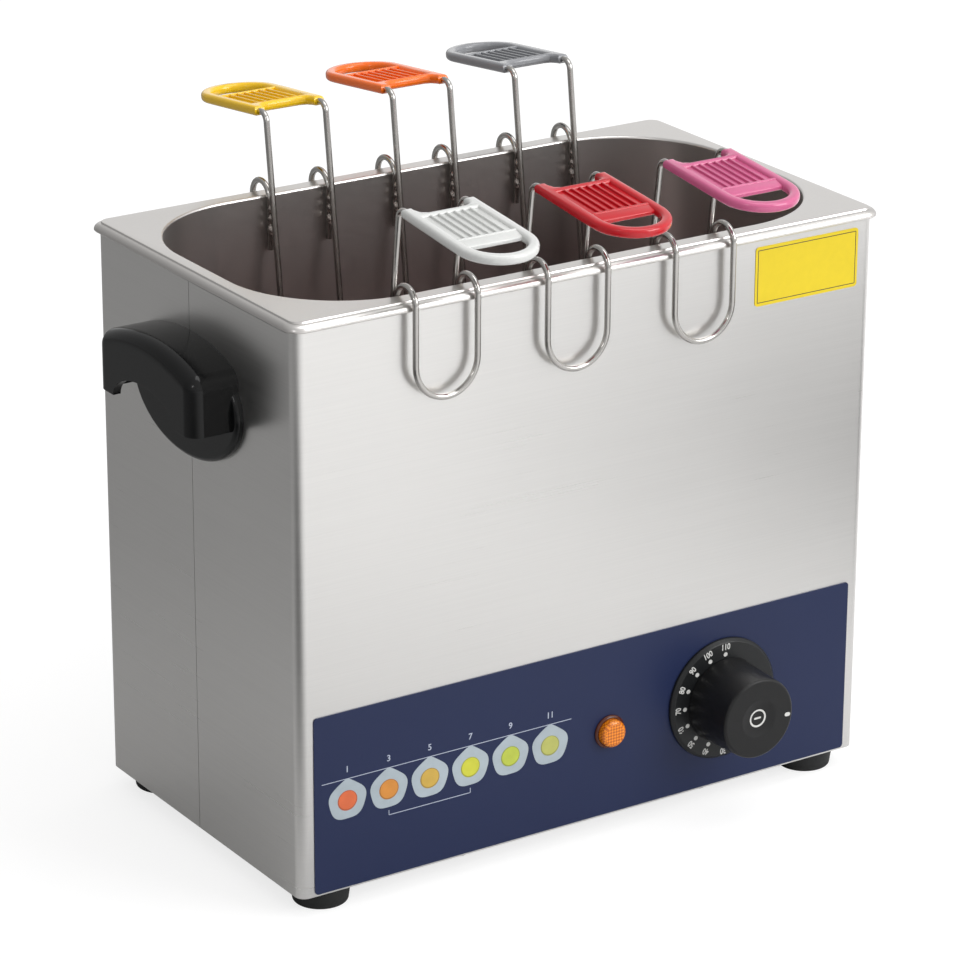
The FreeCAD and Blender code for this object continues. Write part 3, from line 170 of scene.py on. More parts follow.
def finish(name, colour, gloss, metal=0.0, grain=(400, 400, 400), tone=0.06, relief=0.00001, cloud=18,
           **sockets):
    """A finish whose tone, gloss and relief follow one fine grain, with a broad unevenness over it.

    gloss is the least and the most roughness; grain is how fine the grain is along X, Y and Z; tone is
    how far the colour strays, relief the grain's height in metres, and cloud how small the broad
    patches are."""
    material = bpy.data.materials.new(name)
    material.use_nodes = True
    tree = material.node_tree
    shader = tree.nodes["Principled BSDF"]
    shader.inputs["Metallic"].default_value = metal
    for socket, value in sockets.items():
        shader.inputs[socket.replace("_", " ")].default_value = value
    place = add_node(tree, "ShaderNodeTexCoord").outputs["Object"]
    fine_place = add_node(tree, "ShaderNodeMapping", {"Vector": place, "Scale": grain})
    fine = add_node(tree, "ShaderNodeTexNoise",
                    {"Vector": fine_place.outputs["Vector"], "Scale": 1.0, "Detail": 4.0}).outputs["Fac"]
    broad = add_node(tree, "ShaderNodeTexNoise",
                     {"Vector": place, "Scale": cloud, "Detail": 2.0}).outputs["Fac"]
    both = add_node(tree, "ShaderNodeMix", {"Factor": BROAD_SHARE, "A": fine, "B": broad}).outputs["Result"]
    tones = add_node(tree, "ShaderNodeValToRGB", {"Fac": both})
    tones.color_ramp.elements[0].position = NOISE_LEAST
    tones.color_ramp.elements[1].position = NOISE_MOST
    tones.color_ramp.elements[0].color = (*(c * (1 - tone) for c in colour), 1)
    tones.color_ramp.elements[1].color = (*(min(1, c * (1 + tone)) for c in colour), 1)
    rough = add_node(tree, "ShaderNodeMapRange", {"Value": both, "From Min": NOISE_LEAST,
                                                  "From Max": NOISE_MOST, "To Min": gloss[0],
                                                  "To Max": gloss[1]})
    bump = add_node(tree, "ShaderNodeBump", {"Height": fine, "Distance": relief, "Strength": 1.0})
    tree.links.new(tones.outputs["Color"], shader.inputs["Base Color"])
    tree.links.new(rough.outputs["Result"], shader.inputs["Roughness"])
    tree.links.new(bump.outputs["Normal"], shader.inputs["Normal"])
    return material


def piece(name, mesh, material, body, slot, *stands_for):
    """A finished mesh as one piece of the object, moving with a body and standing for solids."""
    made = bpy.data.objects.new(name, mesh)
    scene.collection.objects.link(made)
    mesh.materials.clear()
    mesh.materials.append(material)
    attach(made, body)
    if stands_for:
        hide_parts(*stands_for)
    return made


def smoothed(mesh, sharp=32):
    """Shades a mesh smoothly, up to edges that turn by more than the sharp angle."""
    mesh.shade_smooth()
    mesh.set_sharp_from_angle(angle=radians(sharp))
    return mesh


def copied(node, sharp=32):
    """A copy of a solid's mesh, joined up, with its flat faces whole and its round ones smooth."""
    # the solid's triangles are loose: their corners meet to within a few thousandths of a millimetre
    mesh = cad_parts[node].data.copy()
    mesh.name = f"{node}_shape"
    work = bmesh.new()
    work.from_mesh(mesh)
    bmesh.ops.remove_doubles(work, verts=work.verts, dist=2e-6)
    bmesh.ops.dissolve_limit(work, angle_limit=radians(0.5), verts=work.verts, edges=work.edges)
    work.to_mesh(mesh)
    work.free()
    return smoothed(mesh, sharp)


def evened(made, edge=0.0):
    """Keeps flat faces flat in the shading and, where asked, breaks the sharp edges slightly."""
    if edge:
        broken = made.modifiers.new("broken_edges", "BEVEL")
        broken.width = edge
        broken.segments = 2
        broken.limit_method = "ANGLE"
        broken.angle_limit = radians(40)
        broken.use_clamp_overlap = True
    weighted = made.modifiers.new("even_shading", "WEIGHTED_NORMAL")
    weighted.keep_sharp = True
    return made


casing_steel = finish("brushed_casing_steel", (0.71, 0.70, 0.685), (0.27, 0.34), metal=1.0,
                      grain=(9, 9, 1500), tone=0.03, relief=0.0, cloud=7)
for node in ("front_shell", "rear_shell"):
    evened(piece(f"{node}_sheet", copied(node), casing_steel, "casing", "casing_steel", node))


# ---- Base ----------------------------------------------------------------------------------------
# A galvanised plate closes the casing from below. Vent slots are punched through it; eight screws
# with nuts hold it to the lips of the sheets, and four more carry the feet. The same plated steel
# dresses every other screw of the boiler.

galvanised = finish("galvanised_sheet", (0.42, 0.44, 0.45), (0.35, 0.6), metal=1.0, grain=(60, 60, 60),
                    tone=0.18, cloud=30)
screw_steel = finish("plated_screw_steel", (0.55, 0.55, 0.54), (0.22, 0.34), metal=1.0,
                     grain=(700, 700, 700))
evened(piece("vented_base", copied("base_plate"), galvanised, "casing", "galvanised_steel", "base_plate"))
for node in ("base_screws", "foot_screws", "handle_screws", "thermostat_screws", "clamp_studs"):
    piece(f"{node}_plated", copied(node), screw_steel, "casing", "screw_steel", node)


# ---- Feet ----------------------------------------------------------------------------------------
# Four round feet moulded of black rubber, slightly tapered. A screw sunk in a well holds each one
# from below to the base plate.

foot_rubber = finish("black_rubber", (0.006, 0.0064, 0.007), (0.55, 0.75), grain=(900, 900, 900), tone=0.25,
                     relief=0.00003, cloud=60)
for row in ("front", "rear"):
    for side in ("left", "right"):
        node = f"foot_{row}_{side}"
        evened(piece(f"{node}_rubber", copied(node), foot_rubber, "casing", "foot_rubber", node))


# ---- Tank ----------------------------------------------------------------------------------------
# One deep drawing of stainless steel: a pan with wide corners, a flat flange round its mouth, a low
# step and a rounded band that caps the casing. The inside is satin, painted darker and browner
# towards the floor as painted shade in the deep pan.

OPENING = (0.155, 0.082, 0.058)      # half length, half width and corner radius of the mouth
CASING = (0.162, 0.091, 0.0052)      # the same for the casing's outside
RIM_TOP = 0.2925                     # the flat flange
ROOF = 0.2917                        # the top of the band, a step lower
CASING_TOP = 0.2904                  # where the flange lies on the sheets
TANK_FLOOR, TANK_SHEET = 0.1425, 0.001
FLOOR_BEND = 0.015                   # inside radius from the tank's floor to its wall
MOUTH_BEND = 0.0012                  # rounding from the flange down into the tank
BAND, BAND_CORNER = 0.003, 0.008     # how far the band stands out, and its radius at the corners
BAND_FOOT = CASING_TOP - 0.0024      # the band's lower edge


def rounded_outline(shape, outward, height, corner=None, steps=20):
    """One ring of a loft: a rounded rectangle, set outwards from a given one."""
    half_x, half_y = shape[0] + outward, shape[1] + outward
    radius = corner or shape[2] + outward
    ring = []
    for quarter in range(4):
        middle_x = (half_x - radius) * (1, -1, -1, 1)[quarter]
        middle_y = (half_y - radius) * (1, 1, -1, -1)[quarter]
        for n in range(steps + 1):
            angle = (quarter + n / steps) * pi / 2
            ring.append((middle_x + radius * cos(angle), middle_y + radius * sin(angle), height))
    return ring


def lofted(name, rings):
    """Skins a mesh over rings of equal length, from the first to the last, and closes both ends."""
    work = bmesh.new()
    rows = [[work.verts.new(point) for point in ring] for ring in rings]
    count = len(rows[0])
    for row, after in zip(rows, rows[1:]):
        for n in range(count):
            work.faces.new((row[n], row[(n + 1) % count], after[(n + 1) % count], after[n]))
    work.faces.new(rows[0])
    work.faces.new(rows[-1])
    bmesh.ops.remove_doubles(work, verts=work.verts, dist=1e-7)
    bmesh.ops.recalc_face_normals(work, faces=work.faces)
    mesh = bpy.data.meshes.new(name)
    work.to_mesh(mesh)
    work.free()
    return mesh


def bend(shape, start, end, steps, corner=None):
    """Rings of a quarter-round from one (outward, height) to another, leaving start level."""
    rings = []
    for n in range(steps + 1):
        angle = n / steps * pi / 2
        outward = start[0] + (end[0] - start[0]) * sin(angle)
        height = start[1] + (end[1] - start[1]) * (1 - cos(angle))
        rings.append(rounded_outline(shape, outward, height, corner))
    return rings


# from the underside up the outside, round the band, over the flange and down into the tank
outer_bend, underside = FLOOR_BEND + TANK_SHEET, TANK_FLOOR - TANK_SHEET
rings = bend(OPENING, (-FLOOR_BEND, underside), (TANK_SHEET, underside + outer_bend), steps=10)
rings += [rounded_outline(OPENING, TANK_SHEET, CASING_TOP)]
rings += [rounded_outline(CASING, outward, height, corner) for outward, height, corner in
          ((0.0012, CASING_TOP, 0.0066), (0.0016, BAND_FOOT, 0.0066), (0.0026, BAND_FOOT, 0.0078),
           (BAND, BAND_FOOT + 0.0005, BAND_CORNER))]
rings += bend(CASING, (0.0, ROOF), (BAND, ROOF - BAND), steps=7, corner=BAND_CORNER)[::-1]
rings += [rounded_outline(CASING, outward, height, corner) for outward, height, corner in
          ((-0.0001, ROOF, 0.0055), (-0.0005, RIM_TOP - 0.0001, 0.0052), (-0.0009, RIM_TOP, 0.0052))]
rings += bend(OPENING, (MOUTH_BEND, RIM_TOP), (0.0, RIM_TOP - MOUTH_BEND), steps=5)
rings += bend(OPENING, (-FLOOR_BEND, TANK_FLOOR), (0.0, TANK_FLOOR + FLOOR_BEND), steps=10)[::-1]

# painted shade: the walls are painted darker and browner deep in the pan, fading out towards the mouth
DEEP_SHADE_LOW, DEEP_SHADE_HIGH = 0.235, RIM_TOP - 0.002
HALF_SHADED_AT = 0.7                # of the way from the one height to the other
# the painted shade's colours: steel at the mouth, halfway down, and darkest and brownest deep in the pan
MOUTH_STEEL, HALF_SHADED_STEEL, SHADED_BROWN_STEEL = (0.68, 0.66, 0.64), (0.66, 0.615, 0.60), (0.50, 0.435, 0.425)
tank_steel = finish("satin_tank_steel", MOUTH_STEEL, (0.28, 0.36), metal=1.0, grain=(700, 700, 700), tone=0.015,
                    relief=0.0, cloud=6)
tank_tree = tank_steel.node_tree
tank_place = add_node(tank_tree, "ShaderNodeTexCoord").outputs["Object"]
tank_height = add_node(tank_tree, "ShaderNodeSeparateXYZ", {"Vector": tank_place}).outputs["Z"]
tank_depth = add_node(tank_tree, "ShaderNodeMapRange", {"Value": tank_height, "From Min": DEEP_SHADE_LOW,
                                                        "From Max": DEEP_SHADE_HIGH})
# the painted shade takes the place of the steel's plain tones
painted_deep_shade = add_node(tank_tree, "ShaderNodeValToRGB", {"Fac": tank_depth.outputs["Result"]})
painted_deep_shade.color_ramp.elements[0].color = (*SHADED_BROWN_STEEL, 1)
painted_deep_shade.color_ramp.elements[1].color = (*MOUTH_STEEL, 1)
painted_deep_shade.color_ramp.elements.new(HALF_SHADED_AT).color = (*HALF_SHADED_STEEL, 1)
tank_tree.links.new(painted_deep_shade.outputs["Color"], tank_tree.nodes["Principled BSDF"].inputs["Base Color"])
evened(piece("drawn_tank", smoothed(lofted("drawn_tank", rings)), tank_steel, "casing", "tank_steel", "tank"))


# ---- Side handles --------------------------------------------------------------------------------
# Hooded pulls of black moulded plastic, open below for the fingers, on an oval base plate. Two
# screws hold each one from inside the casing.

handle_plastic = finish("black_handle_plastic", (0.0045, 0.0047, 0.005), (0.13, 0.19),
                        grain=(1200, 1200, 1200), tone=0.2, relief=0.000001, cloud=25,
                        Specular_IOR_Level=0.30)
HANDLE_EDGE = 0.0009
for node in ("handle_left", "handle_right"):
    evened(piece(f"{node}_moulding", copied(node, sharp=28), handle_plastic, "casing", "black_plastic", node),
           HANDLE_EDGE)


# ---- Control panel -------------------------------------------------------------------------------
# A printed polycarbonate film stuck over the foot of the front sheet. A row of opened eggs shows
# how firm they get with the minutes; the printing is pale ink with coloured yolks.

INK = 0.00006


def printed(name, shapes, material):
    """Thin prints on the front of the casing; each shape is an outline of (x, z) points and its y."""
    work = bmesh.new()
    for outline, y in shapes:
        front = [work.verts.new((x, y - INK, z)) for x, z in outline]
        back = [work.verts.new((x, y, z)) for x, z in outline]
        work.faces.new(front)
        work.faces.new(back[::-1])
        for n in range(len(front)):
            after = (n + 1) % len(front)
            work.faces.new((front[n], back[n], back[after], front[after]))
    bmesh.ops.recalc_face_normals(work, faces=work.faces)
    mesh = bpy.data.meshes.new(name)
    work.to_mesh(mesh)
    work.free()
    return piece(name, mesh, material, "casing", "panel_film")


def lettering(name, words, bold, narrow=1.0):
    """Numbers on the front of the casing as one mesh; each is (text, height, x, y, z, turn).

    bold is how far the strokes are thickened, and narrow the width left of the usual one."""
    work = bmesh.new()
    for text, height, x, y, z, turn in words:
        curve = bpy.data.curves.new("number", "FONT")
        curve.body = text
        curve.size = height
        curve.align_x, curve.align_y = "CENTER", "CENTER"
        curve.extrude = INK / 2
        curve.offset = bold
        carrier = bpy.data.objects.new("number", curve)
        scene.collection.objects.link(carrier)
        made = bpy.data.meshes.new_from_object(carrier.evaluated_get(bpy.context.evaluated_depsgraph_get()))
        upright_turn = Matrix.Rotation(-turn, 4, "Y") @ Matrix.Rotation(pi / 2, 4, "X")
        made.transform(Matrix.Translation((x, y, z)) @ upright_turn @ Matrix.Scale(narrow, 4, (1, 0, 0)))
        work.from_mesh(made)
        bpy.data.objects.remove(carrier)
    mesh = bpy.data.meshes.new(name)
    work.to_mesh(mesh)
    work.free()
    return mesh


panel_film = finish("navy_panel_film", (0.013, 0.021, 0.067), (0.34, 0.42), grain=(1500, 1500, 1500),
                    tone=0.05, relief=0.000001, cloud=12, Specular_IOR_Level=0.28)
pale_ink = finish("pale_ink", (0.42, 0.46, 0.56), (0.4, 0.5), grain=(900, 900, 900), tone=0.05,
                  relief=0.000002)
egg_white = finish("egg_white_ink", (0.38, 0.44, 0.48), (0.35, 0.45), grain=(200, 200, 200), tone=0.08,
                   relief=0.000002)
evened(piece("panel_overlay", copied("control_panel"), panel_film, "casing", "panel_film", "control_panel"))
panel_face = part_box("control_panel")[0].y

FIRST_EGG, EGG_PITCH = -0.1365, 0.02264
EGG_MIDDLES = [FIRST_EGG + n * EGG_PITCH for n in range(6)]
EGG_ROW, NUMBER_ROW = 0.0555, 0.0710
EGG_LINE, EGG_LINE_LEFT, EGG_LINE_RIGHT = 0.0663, -0.1503, -0.0111
BRACKET, BRACKET_END = 0.0421, 0.0024
EGG_SIZE, EGG_WAVE = 0.0098, 0.038
YOLK_SIZE, YOLK_RIM, RIM_DROP, RIM_SHADE = 0.0051, 0.0005, 0.0002, 0.62
STROKE, NUMBER_HIGH = 0.00035, 0.0044
STRETCH = 1.04                       # the rounds are printed a little wider than high
YOLKS = ((0.68, 0.14, 0.045), (0.62, 0.24, 0.035), (0.56, 0.36, 0.06), (0.54, 0.54, 0.04),
         (0.46, 0.53, 0.06), (0.46, 0.47, 0.12))


def around(x, z, radius, wave=0.0, steps=64):
    """A printed round; with a wave its outline has five soft sides and a peak at the top."""
    turns = [2 * pi * n / steps for n in range(steps)]
    waves = [0.9 * cos(5 * (t - pi / 2)) + 0.3 * cos(3 * t + 0.9)
             + 1.6 * exp(-((t - pi / 2) / 0.2) ** 2) - 0.2 for t in turns]
    reaches = [radius * (1 + wave * part) for part in waves]
    return [(x + r * STRETCH * cos(t), z + r * sin(t)) for t, r in zip(turns, reaches)]


printed("egg_prints", [(around(x, EGG_ROW, EGG_SIZE, EGG_WAVE), panel_face) for x in EGG_MIDDLES], egg_white)
for n, (x, colour) in enumerate(zip(EGG_MIDDLES, YOLKS), 1):
    yolk_ink = finish(f"yolk_ink_{n}", colour, (0.35, 0.45), grain=(150, 150, 150), tone=0.12,
                      relief=0.000001)
    rim_colour = [c * RIM_SHADE for c in colour]
    rim_ink = finish(f"yolk_rim_ink_{n}", rim_colour, (0.35, 0.45), grain=(150, 150, 150), tone=0.1,
                     relief=0.000001)
    printed(f"yolk_rim_{n}", [(around(x, EGG_ROW - RIM_DROP, YOLK_SIZE), panel_face - INK)], rim_ink)
    printed(f"yolk_print_{n}", [(around(x, EGG_ROW, YOLK_SIZE - YOLK_RIM), panel_face - 2 * INK)], yolk_ink)


def bar(x0, z0, x1, z1, width):
    """The outline of a straight printed line."""
    run = Vector((x1 - x0, z1 - z0)).normalized() * width / 2
    return [(x0 - run.y, z0 + run.x), (x0 + run.y, z0 - run.x),
            (x1 + run.y, z1 - run.x), (x1 - run.y, z1 + run.x)]


lines = [bar(EGG_LINE_LEFT, EGG_LINE, EGG_LINE_RIGHT, EGG_LINE, STROKE)]
lines += [bar(EGG_MIDDLES[1], BRACKET, EGG_MIDDLES[3], BRACKET, STROKE)]
lines += [bar(EGG_MIDDLES[n], BRACKET, EGG_MIDDLES[n], BRACKET + BRACKET_END, STROKE) for n in (1, 3)]
printed("panel_lines", [(line, panel_face) for line in lines], pale_ink)
minutes = [(str(n), NUMBER_HIGH, x, panel_face, NUMBER_ROW, 0)
           for n, x in zip((1, 3, 5, 7, 9, 11), EGG_MIDDLES)]
minute_numbers = lettering("minute_numbers", minutes, bold=0.00006)
piece("minute_numbers", minute_numbers, pale_ink, "casing", "panel_film")


# ---- Blank label ---------------------------------------------------------------------------------
# A bare sticker near the top right corner of the front: yellow vinyl, cut square, with a thin dark
# border line printed round it, and held by its own glue.

label_vinyl = finish("yellow_vinyl", (0.74, 0.565, 0.022), (0.4, 0.5), grain=(300, 300, 300), tone=0.03,
                     relief=0.000002, Specular_IOR_Level=0.3)
label_ink = finish("label_ink", (0.05, 0.045, 0.03), (0.5, 0.6), grain=(300, 300, 300), tone=0.1,
                   relief=0.000002)
label_low, label_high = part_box("blank_label")
label_middle = Matrix.Translation((label_low + label_high) / 2)
CUT_LONG, CUT_HIGH = 0.968, 0.952    # the vinyl's share of its solid's length and height
sticker = copied("blank_label")
sticker.transform(label_middle @ Matrix.Diagonal((CUT_LONG, 1, CUT_HIGH, 1)) @ label_middle.inverted())
evened(piece("blank_sticker", sticker, label_vinyl, "casing", "label_film", "blank_label"))
INSET = 0.0025
left, right = label_low.x + INSET, label_high.x - INSET
low, high = label_low.z + INSET, label_high.z - INSET
border = [bar(left, low, right, low, STROKE), bar(left, high, right, high, STROKE),
          bar(left, low, left, high, STROKE), bar(right, low, right, high, STROKE)]
printed("sticker_border", [(line, label_low.y) for line in border], label_ink)


# ---- Lamp ----------------------------------------------------------------------------------------
# A neon indicator lamp, clipped into a hole in the front: a dark amber ring against the panel and a
# clear amber lens, moulded with cross cuts inside that spread the light.

lamp_ring = finish("dark_amber_plastic", (0.08, 0.016, 0.004), (0.14, 0.2), tone=0.1, relief=0.000001)
lamp_lens = finish("amber_lens", (0.92, 0.30, 0.012), (0.14, 0.2), grain=(900, 900, 900), tone=0.05,
                   relief=0.000001, cloud=100, Coat_Weight=0.2, Coat_Roughness=0.08)
LENS_CELL, CELL_LIGHT, CELL_DARK = 0.0011, (0.86, 0.26, 0.008, 1), (0.50, 0.11, 0.004, 1)
# the cells take the place of the lens's plain tones
lens_tree = lamp_lens.node_tree
lens_place = add_node(lens_tree, "ShaderNodeMapping",
                      {"Vector": add_node(lens_tree, "ShaderNodeTexCoord").outputs["Object"],
                       "Rotation": (0, pi / 4, 0)})
cells = add_node(lens_tree, "ShaderNodeTexChecker",
                 {"Vector": lens_place.outputs["Vector"], "Scale": 1 / LENS_CELL,
                  "Color1": CELL_LIGHT, "Color2": CELL_DARK})
lens_tree.links.new(cells.outputs["Color"], lens_tree.nodes["Principled BSDF"].inputs["Base Color"])
SMALL_EDGE = 0.0003
evened(piece("lamp_ring", copied("lamp_body"), lamp_ring, "casing", "black_plastic", "lamp_body"), SMALL_EDGE)
piece("lamp_dome", copied("lamp_lens"), lamp_lens, "casing", "amber_lens", "lamp_lens")


# ---- Dial ----------------------------------------------------------------------------------------
# A flat disc of black plastic held to the front behind the knob, with the degrees from 30 to 110
# and a dot for each of them printed in white.

DIAL = Vector((0.0775, 0, 0.0565))   # on the axis of the thermostat's shaft
dial_plastic = finish("black_dial_plastic", (0.009, 0.0098, 0.0105), (0.3, 0.4), grain=(900, 900, 900),
                      tone=0.2, relief=0.000003, Specular_IOR_Level=0.35)
white_ink = finish("white_ink", (0.62, 0.62, 0.60), (0.4, 0.5), grain=(900, 900, 900), tone=0.05,
                   relief=0.000002)
evened(piece("dial_ring", copied("dial_bezel"), dial_plastic, "casing", "black_plastic", "dial_bezel"),
       SMALL_EDGE)
dial_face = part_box("dial_bezel")[0].y
DOT_RING, NUMBER_RING, DOT = 0.0237, 0.0275, 0.00112
FIRST_DEGREES, DEGREES_APART, FIRST_TURN, TURN_APART = 30, 10, 270, 22.5
degrees, dots = [], []
for n in range(9):
    angle = radians(FIRST_TURN - n * TURN_APART)
    degrees.append((str(FIRST_DEGREES + DEGREES_APART * n), NUMBER_HIGH, DIAL.x + NUMBER_RING * cos(angle),
                    dial_face, DIAL.z + NUMBER_RING * sin(angle), angle - pi / 2))
    dot = around(DIAL.x + DOT_RING * cos(angle), DIAL.z + DOT_RING * sin(angle), DOT, steps=16)
    dots.append((dot, dial_face))
dial_numbers = lettering("dial_numbers", degrees, bold=0.00010, narrow=0.82)
piece("dial_numbers", dial_numbers, white_ink, "casing", "black_plastic")
printed("dial_dots", dots, white_ink)


# ---- Knob ----------------------------------------------------------------------------------------
# A hollow black moulded knob pushed on the thermostat's flatted shaft. Its face has a shallow dish
# with a small ring and bar printed in it, and a white pointer mark near the edge.

knob_plastic = finish("black_knob_plastic", (0.007, 0.007, 0.0074), (0.36, 0.46), grain=(900, 900, 900),
                      tone=0.2, relief=0.000003, Specular_IOR_Level=0.32)
evened(piece("dial_knob", copied("knob"), knob_plastic, "knob", "black_plastic", "knob"))
KNOB_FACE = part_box("knob")[0].y
DISH_RADIUS, DISH_DEPTH = 0.0105, 0.0015
dish_ball = (DISH_RADIUS ** 2 + DISH_DEPTH ** 2) / (2 * DISH_DEPTH)


def face_depth(radius):
    """How far behind the knob's face its dished middle lies."""
    if radius > DISH_RADIUS:
        return 0.0
    return DISH_DEPTH - dish_ball + sqrt(dish_ball ** 2 - radius ** 2)


def on_knob(outline_outer, outline_inner):
    """A print on the knob's face between two outlines of equal count, following the dish."""
    work = bmesh.new()
    walls = [[work.verts.new((DIAL.x + x, KNOB_FACE + face_depth(hypot(x, z)) - lift, DIAL.z + z))
              for x, z in outline] for outline in (outline_outer, outline_inner) for lift in (-INK, INK)]
    low_out, top_out, low_in, top_in = walls
    count = len(low_out)
    for one, other in ((low_out, top_out), (top_out, top_in), (top_in, low_in), (low_in, low_out)):
        for n in range(count):
            after = (n + 1) % count
            work.faces.new((one[n], one[after], other[after], other[n]))
    bmesh.ops.recalc_face_normals(work, faces=work.faces)
    mesh = bpy.data.meshes.new("knob_mark")
    work.to_mesh(mesh)
    work.free()
    return mesh


def stretched(outline, half_length, angle, radius):
    """An outline drawn out along a direction and moved outwards along it."""
    drawn = [(x + (half_length if x > 0 else -half_length), z) for x, z in outline]
    return [((x + radius) * cos(angle) - z * sin(angle), (x + radius) * sin(angle) + z * cos(angle))
            for x, z in drawn]


HAIR = 0.00001                       # half the width of the line left open in a filled mark


def filled_mark(half_width, half_length, angle, radius):
    """A rounded stroke on the knob's face, printed from its outline to a hair line in its middle."""
    outlines = [stretched(around(0, 0, size), half_length, angle, radius) for size in (half_width, HAIR)]
    return on_knob(*outlines)


RING_OUT, RING_IN = 0.0046, 0.0037
BAR_HALF_WIDE, BAR_HALF_LONG = 0.0005, 0.0016
POINTER_HALF_WIDE, POINTER_HALF_LONG, POINTER_TURN, POINTER_AT = 0.0010, 0.0006, radians(-5), 0.0171
marks = [on_knob(around(0, 0, RING_OUT), around(0, 0, RING_IN)),
         filled_mark(BAR_HALF_WIDE, BAR_HALF_LONG, 0, 0),
         filled_mark(POINTER_HALF_WIDE, POINTER_HALF_LONG, POINTER_TURN, POINTER_AT)]
for n, mesh in enumerate(marks, 1):
    piece(f"knob_mark_{n}", mesh, white_ink, "knob", "black_plastic")
piece("shaft_rod", copied("thermostat_shaft"), screw_steel, "knob", "screw_steel", "thermostat_shaft")


# ---- Egg holders ---------------------------------------------------------------------------------
# Each is bent from bright stainless wire: a long frame whose foot carries the egg, a cup ring and a
# hook with a looped tail, spot-welded together. A coloured plastic grip is moulded over the ends.

WIRE, HALF_GAP = 0.0015, 0.0166      # the wire's radius, and half the way between its two uprights
LEG, LOOP = 0.0801, 0.0961           # from the tank's middle: the hook's inner leg and its looped tail
ARCH_Z, ARCH_HIGH, ARCH_BEND = 0.290305, 0.008, 0.00799
LEG_LONG, TAIL_Z = 0.025, 0.2455
GRIP_Z, SEAT_Z, RING_Z = 0.3335, 0.1625, 0.1875
UPRIGHT = 0.077                      # where the uprights are at the arch, and how they lean from there
LEAN, DROOP = tan(radians(7.4)), radians(6)
WIRE_IN_GRIP, SEAT_LONG, BEND = 0.0296, 0.042, 0.0045
RING_RADIUS, RING_WIRE, RING_POINTS = 0.025, 0.00125, 48
WELD_GAP = 0.0001                    # between the ring's wire and the uprights, filled by the welds
HOLDER_PITCH = 0.0715
# each row: its side of the tank, the place of its middle holder, and its colours from left to right
HOLDER_ROWS = ((-1, -0.0135, ("white", "red", "pink")), (1, 0.015, ("yellow", "orange", "grey")))


def upright(z):
    """How far from the middle of the tank the leaning uprights are at a height."""
    return UPRIGHT + LEAN * (z - ARCH_Z)


def growth(name, **inputs):
    """An empty geometry tree with a geometry in and out and the named inputs."""
    tree = bpy.data.node_groups.new(name, "GeometryNodeTree")
    tree.interface.new_socket("Geometry", in_out="INPUT", socket_type="NodeSocketGeometry")
    tree.interface.new_socket("Geometry", in_out="OUTPUT", socket_type="NodeSocketGeometry")
    for label, kind in inputs.items():
        tree.interface.new_socket(label.replace("_", " "), in_out="INPUT", socket_type=f"NodeSocket{kind}")
    return tree, tree.nodes.new("NodeGroupInput"), tree.nodes.new("NodeGroupOutput")


def grown(tree, seed, **values):
    """The plain mesh that a tree makes of a seed mesh."""
    carrier = bpy.data.objects.new(tree.name, seed)
    scene.collection.objects.link(carrier)
    modifier = carrier.modifiers.new(tree.name, "NODES")
    modifier.node_group = tree
    sockets = {s.name: s.identifier for s in tree.interface.items_tree if s.in_out == "INPUT"}
    for label, value in values.items():
        modifier[sockets[label.replace("_", " ")]] = value
    mesh = bpy.data.meshes.new_from_object(carrier.evaluated_get(bpy.context.evaluated_depsgraph_get()))
    bpy.data.objects.remove(carrier)
    return mesh


wire_tree, given, made = growth("bent_wire", Wire_radius="Float", Bend_steps="Int", Steel="Material")
line = add_node(wire_tree, "GeometryNodeMeshToCurve", {"Mesh": given.outputs["Geometry"]})
bend_size = add_node(wire_tree, "GeometryNodeInputNamedAttribute", {"Name": "bend"}, data_type="FLOAT")
round_line = add_node(wire_tree, "GeometryNodeFilletCurve",
                      {"Curve": line.outputs["Curve"], "Count": given.outputs["Bend steps"],
                       "Radius": bend_size.outputs["Attribute"]}, mode="POLY")
section = add_node(wire_tree, "GeometryNodeCurvePrimitiveCircle",
                   {"Resolution": 14, "Radius": given.outputs["Wire radius"]})
tube = add_node(wire_tree, "GeometryNodeCurveToMesh",
                {"Curve": round_line.outputs["Curve"], "Profile Curve": section.outputs["Curve"],
                 "Fill Caps": True})
solid = add_node(wire_tree, "GeometryNodeRealizeInstances", {"Geometry": tube.outputs["Mesh"]})
plated = add_node(wire_tree, "GeometryNodeSetMaterial",
                  {"Geometry": solid.outputs["Geometry"], "Material": given.outputs["Steel"]})
wire_tree.links.new(plated.outputs["Geometry"], made.inputs["Geometry"])


def wire(name, points, bends, closed=False):
    """A wire along straight runs, each corner bent to its own radius."""
    seed = bpy.data.meshes.new(name)
    runs = [(n, n + 1) for n in range(len(points) - 1)] + ([(len(points) - 1, 0)] if closed else [])
    seed.from_pydata(points, runs, [])
    seed.attributes.new("bend", "FLOAT", "POINT").data.foreach_set("value", bends)
    return seed


wire_steel = finish("bright_wire_steel", (0.50, 0.485, 0.465), (0.11, 0.19), metal=1.0,
                    grain=(300, 300, 300), tone=0.05, relief=0.000003, cloud=60)
weld_steel = finish("weld_steel", (0.34, 0.31, 0.29), (0.18, 0.34), metal=1.0, grain=(900, 900, 900),
                    tone=0.25, relief=0.00004, cloud=90)
GRIP_COLOURS = {"white": (0.66, 0.665, 0.65), "red": (0.52, 0.0025, 0.010), "pink": (0.60, 0.115, 0.26),
                "yellow": (0.88, 0.54, 0.006), "orange": (0.93, 0.16, 0.006), "grey": (0.25, 0.255, 0.27)}


def mirrored(half, bends):
    """A path and its bends completed from the left half."""
    return half + [(-x, y, z) for x, y, z in reversed(half)], [0, *bends, *reversed(bends), 0]


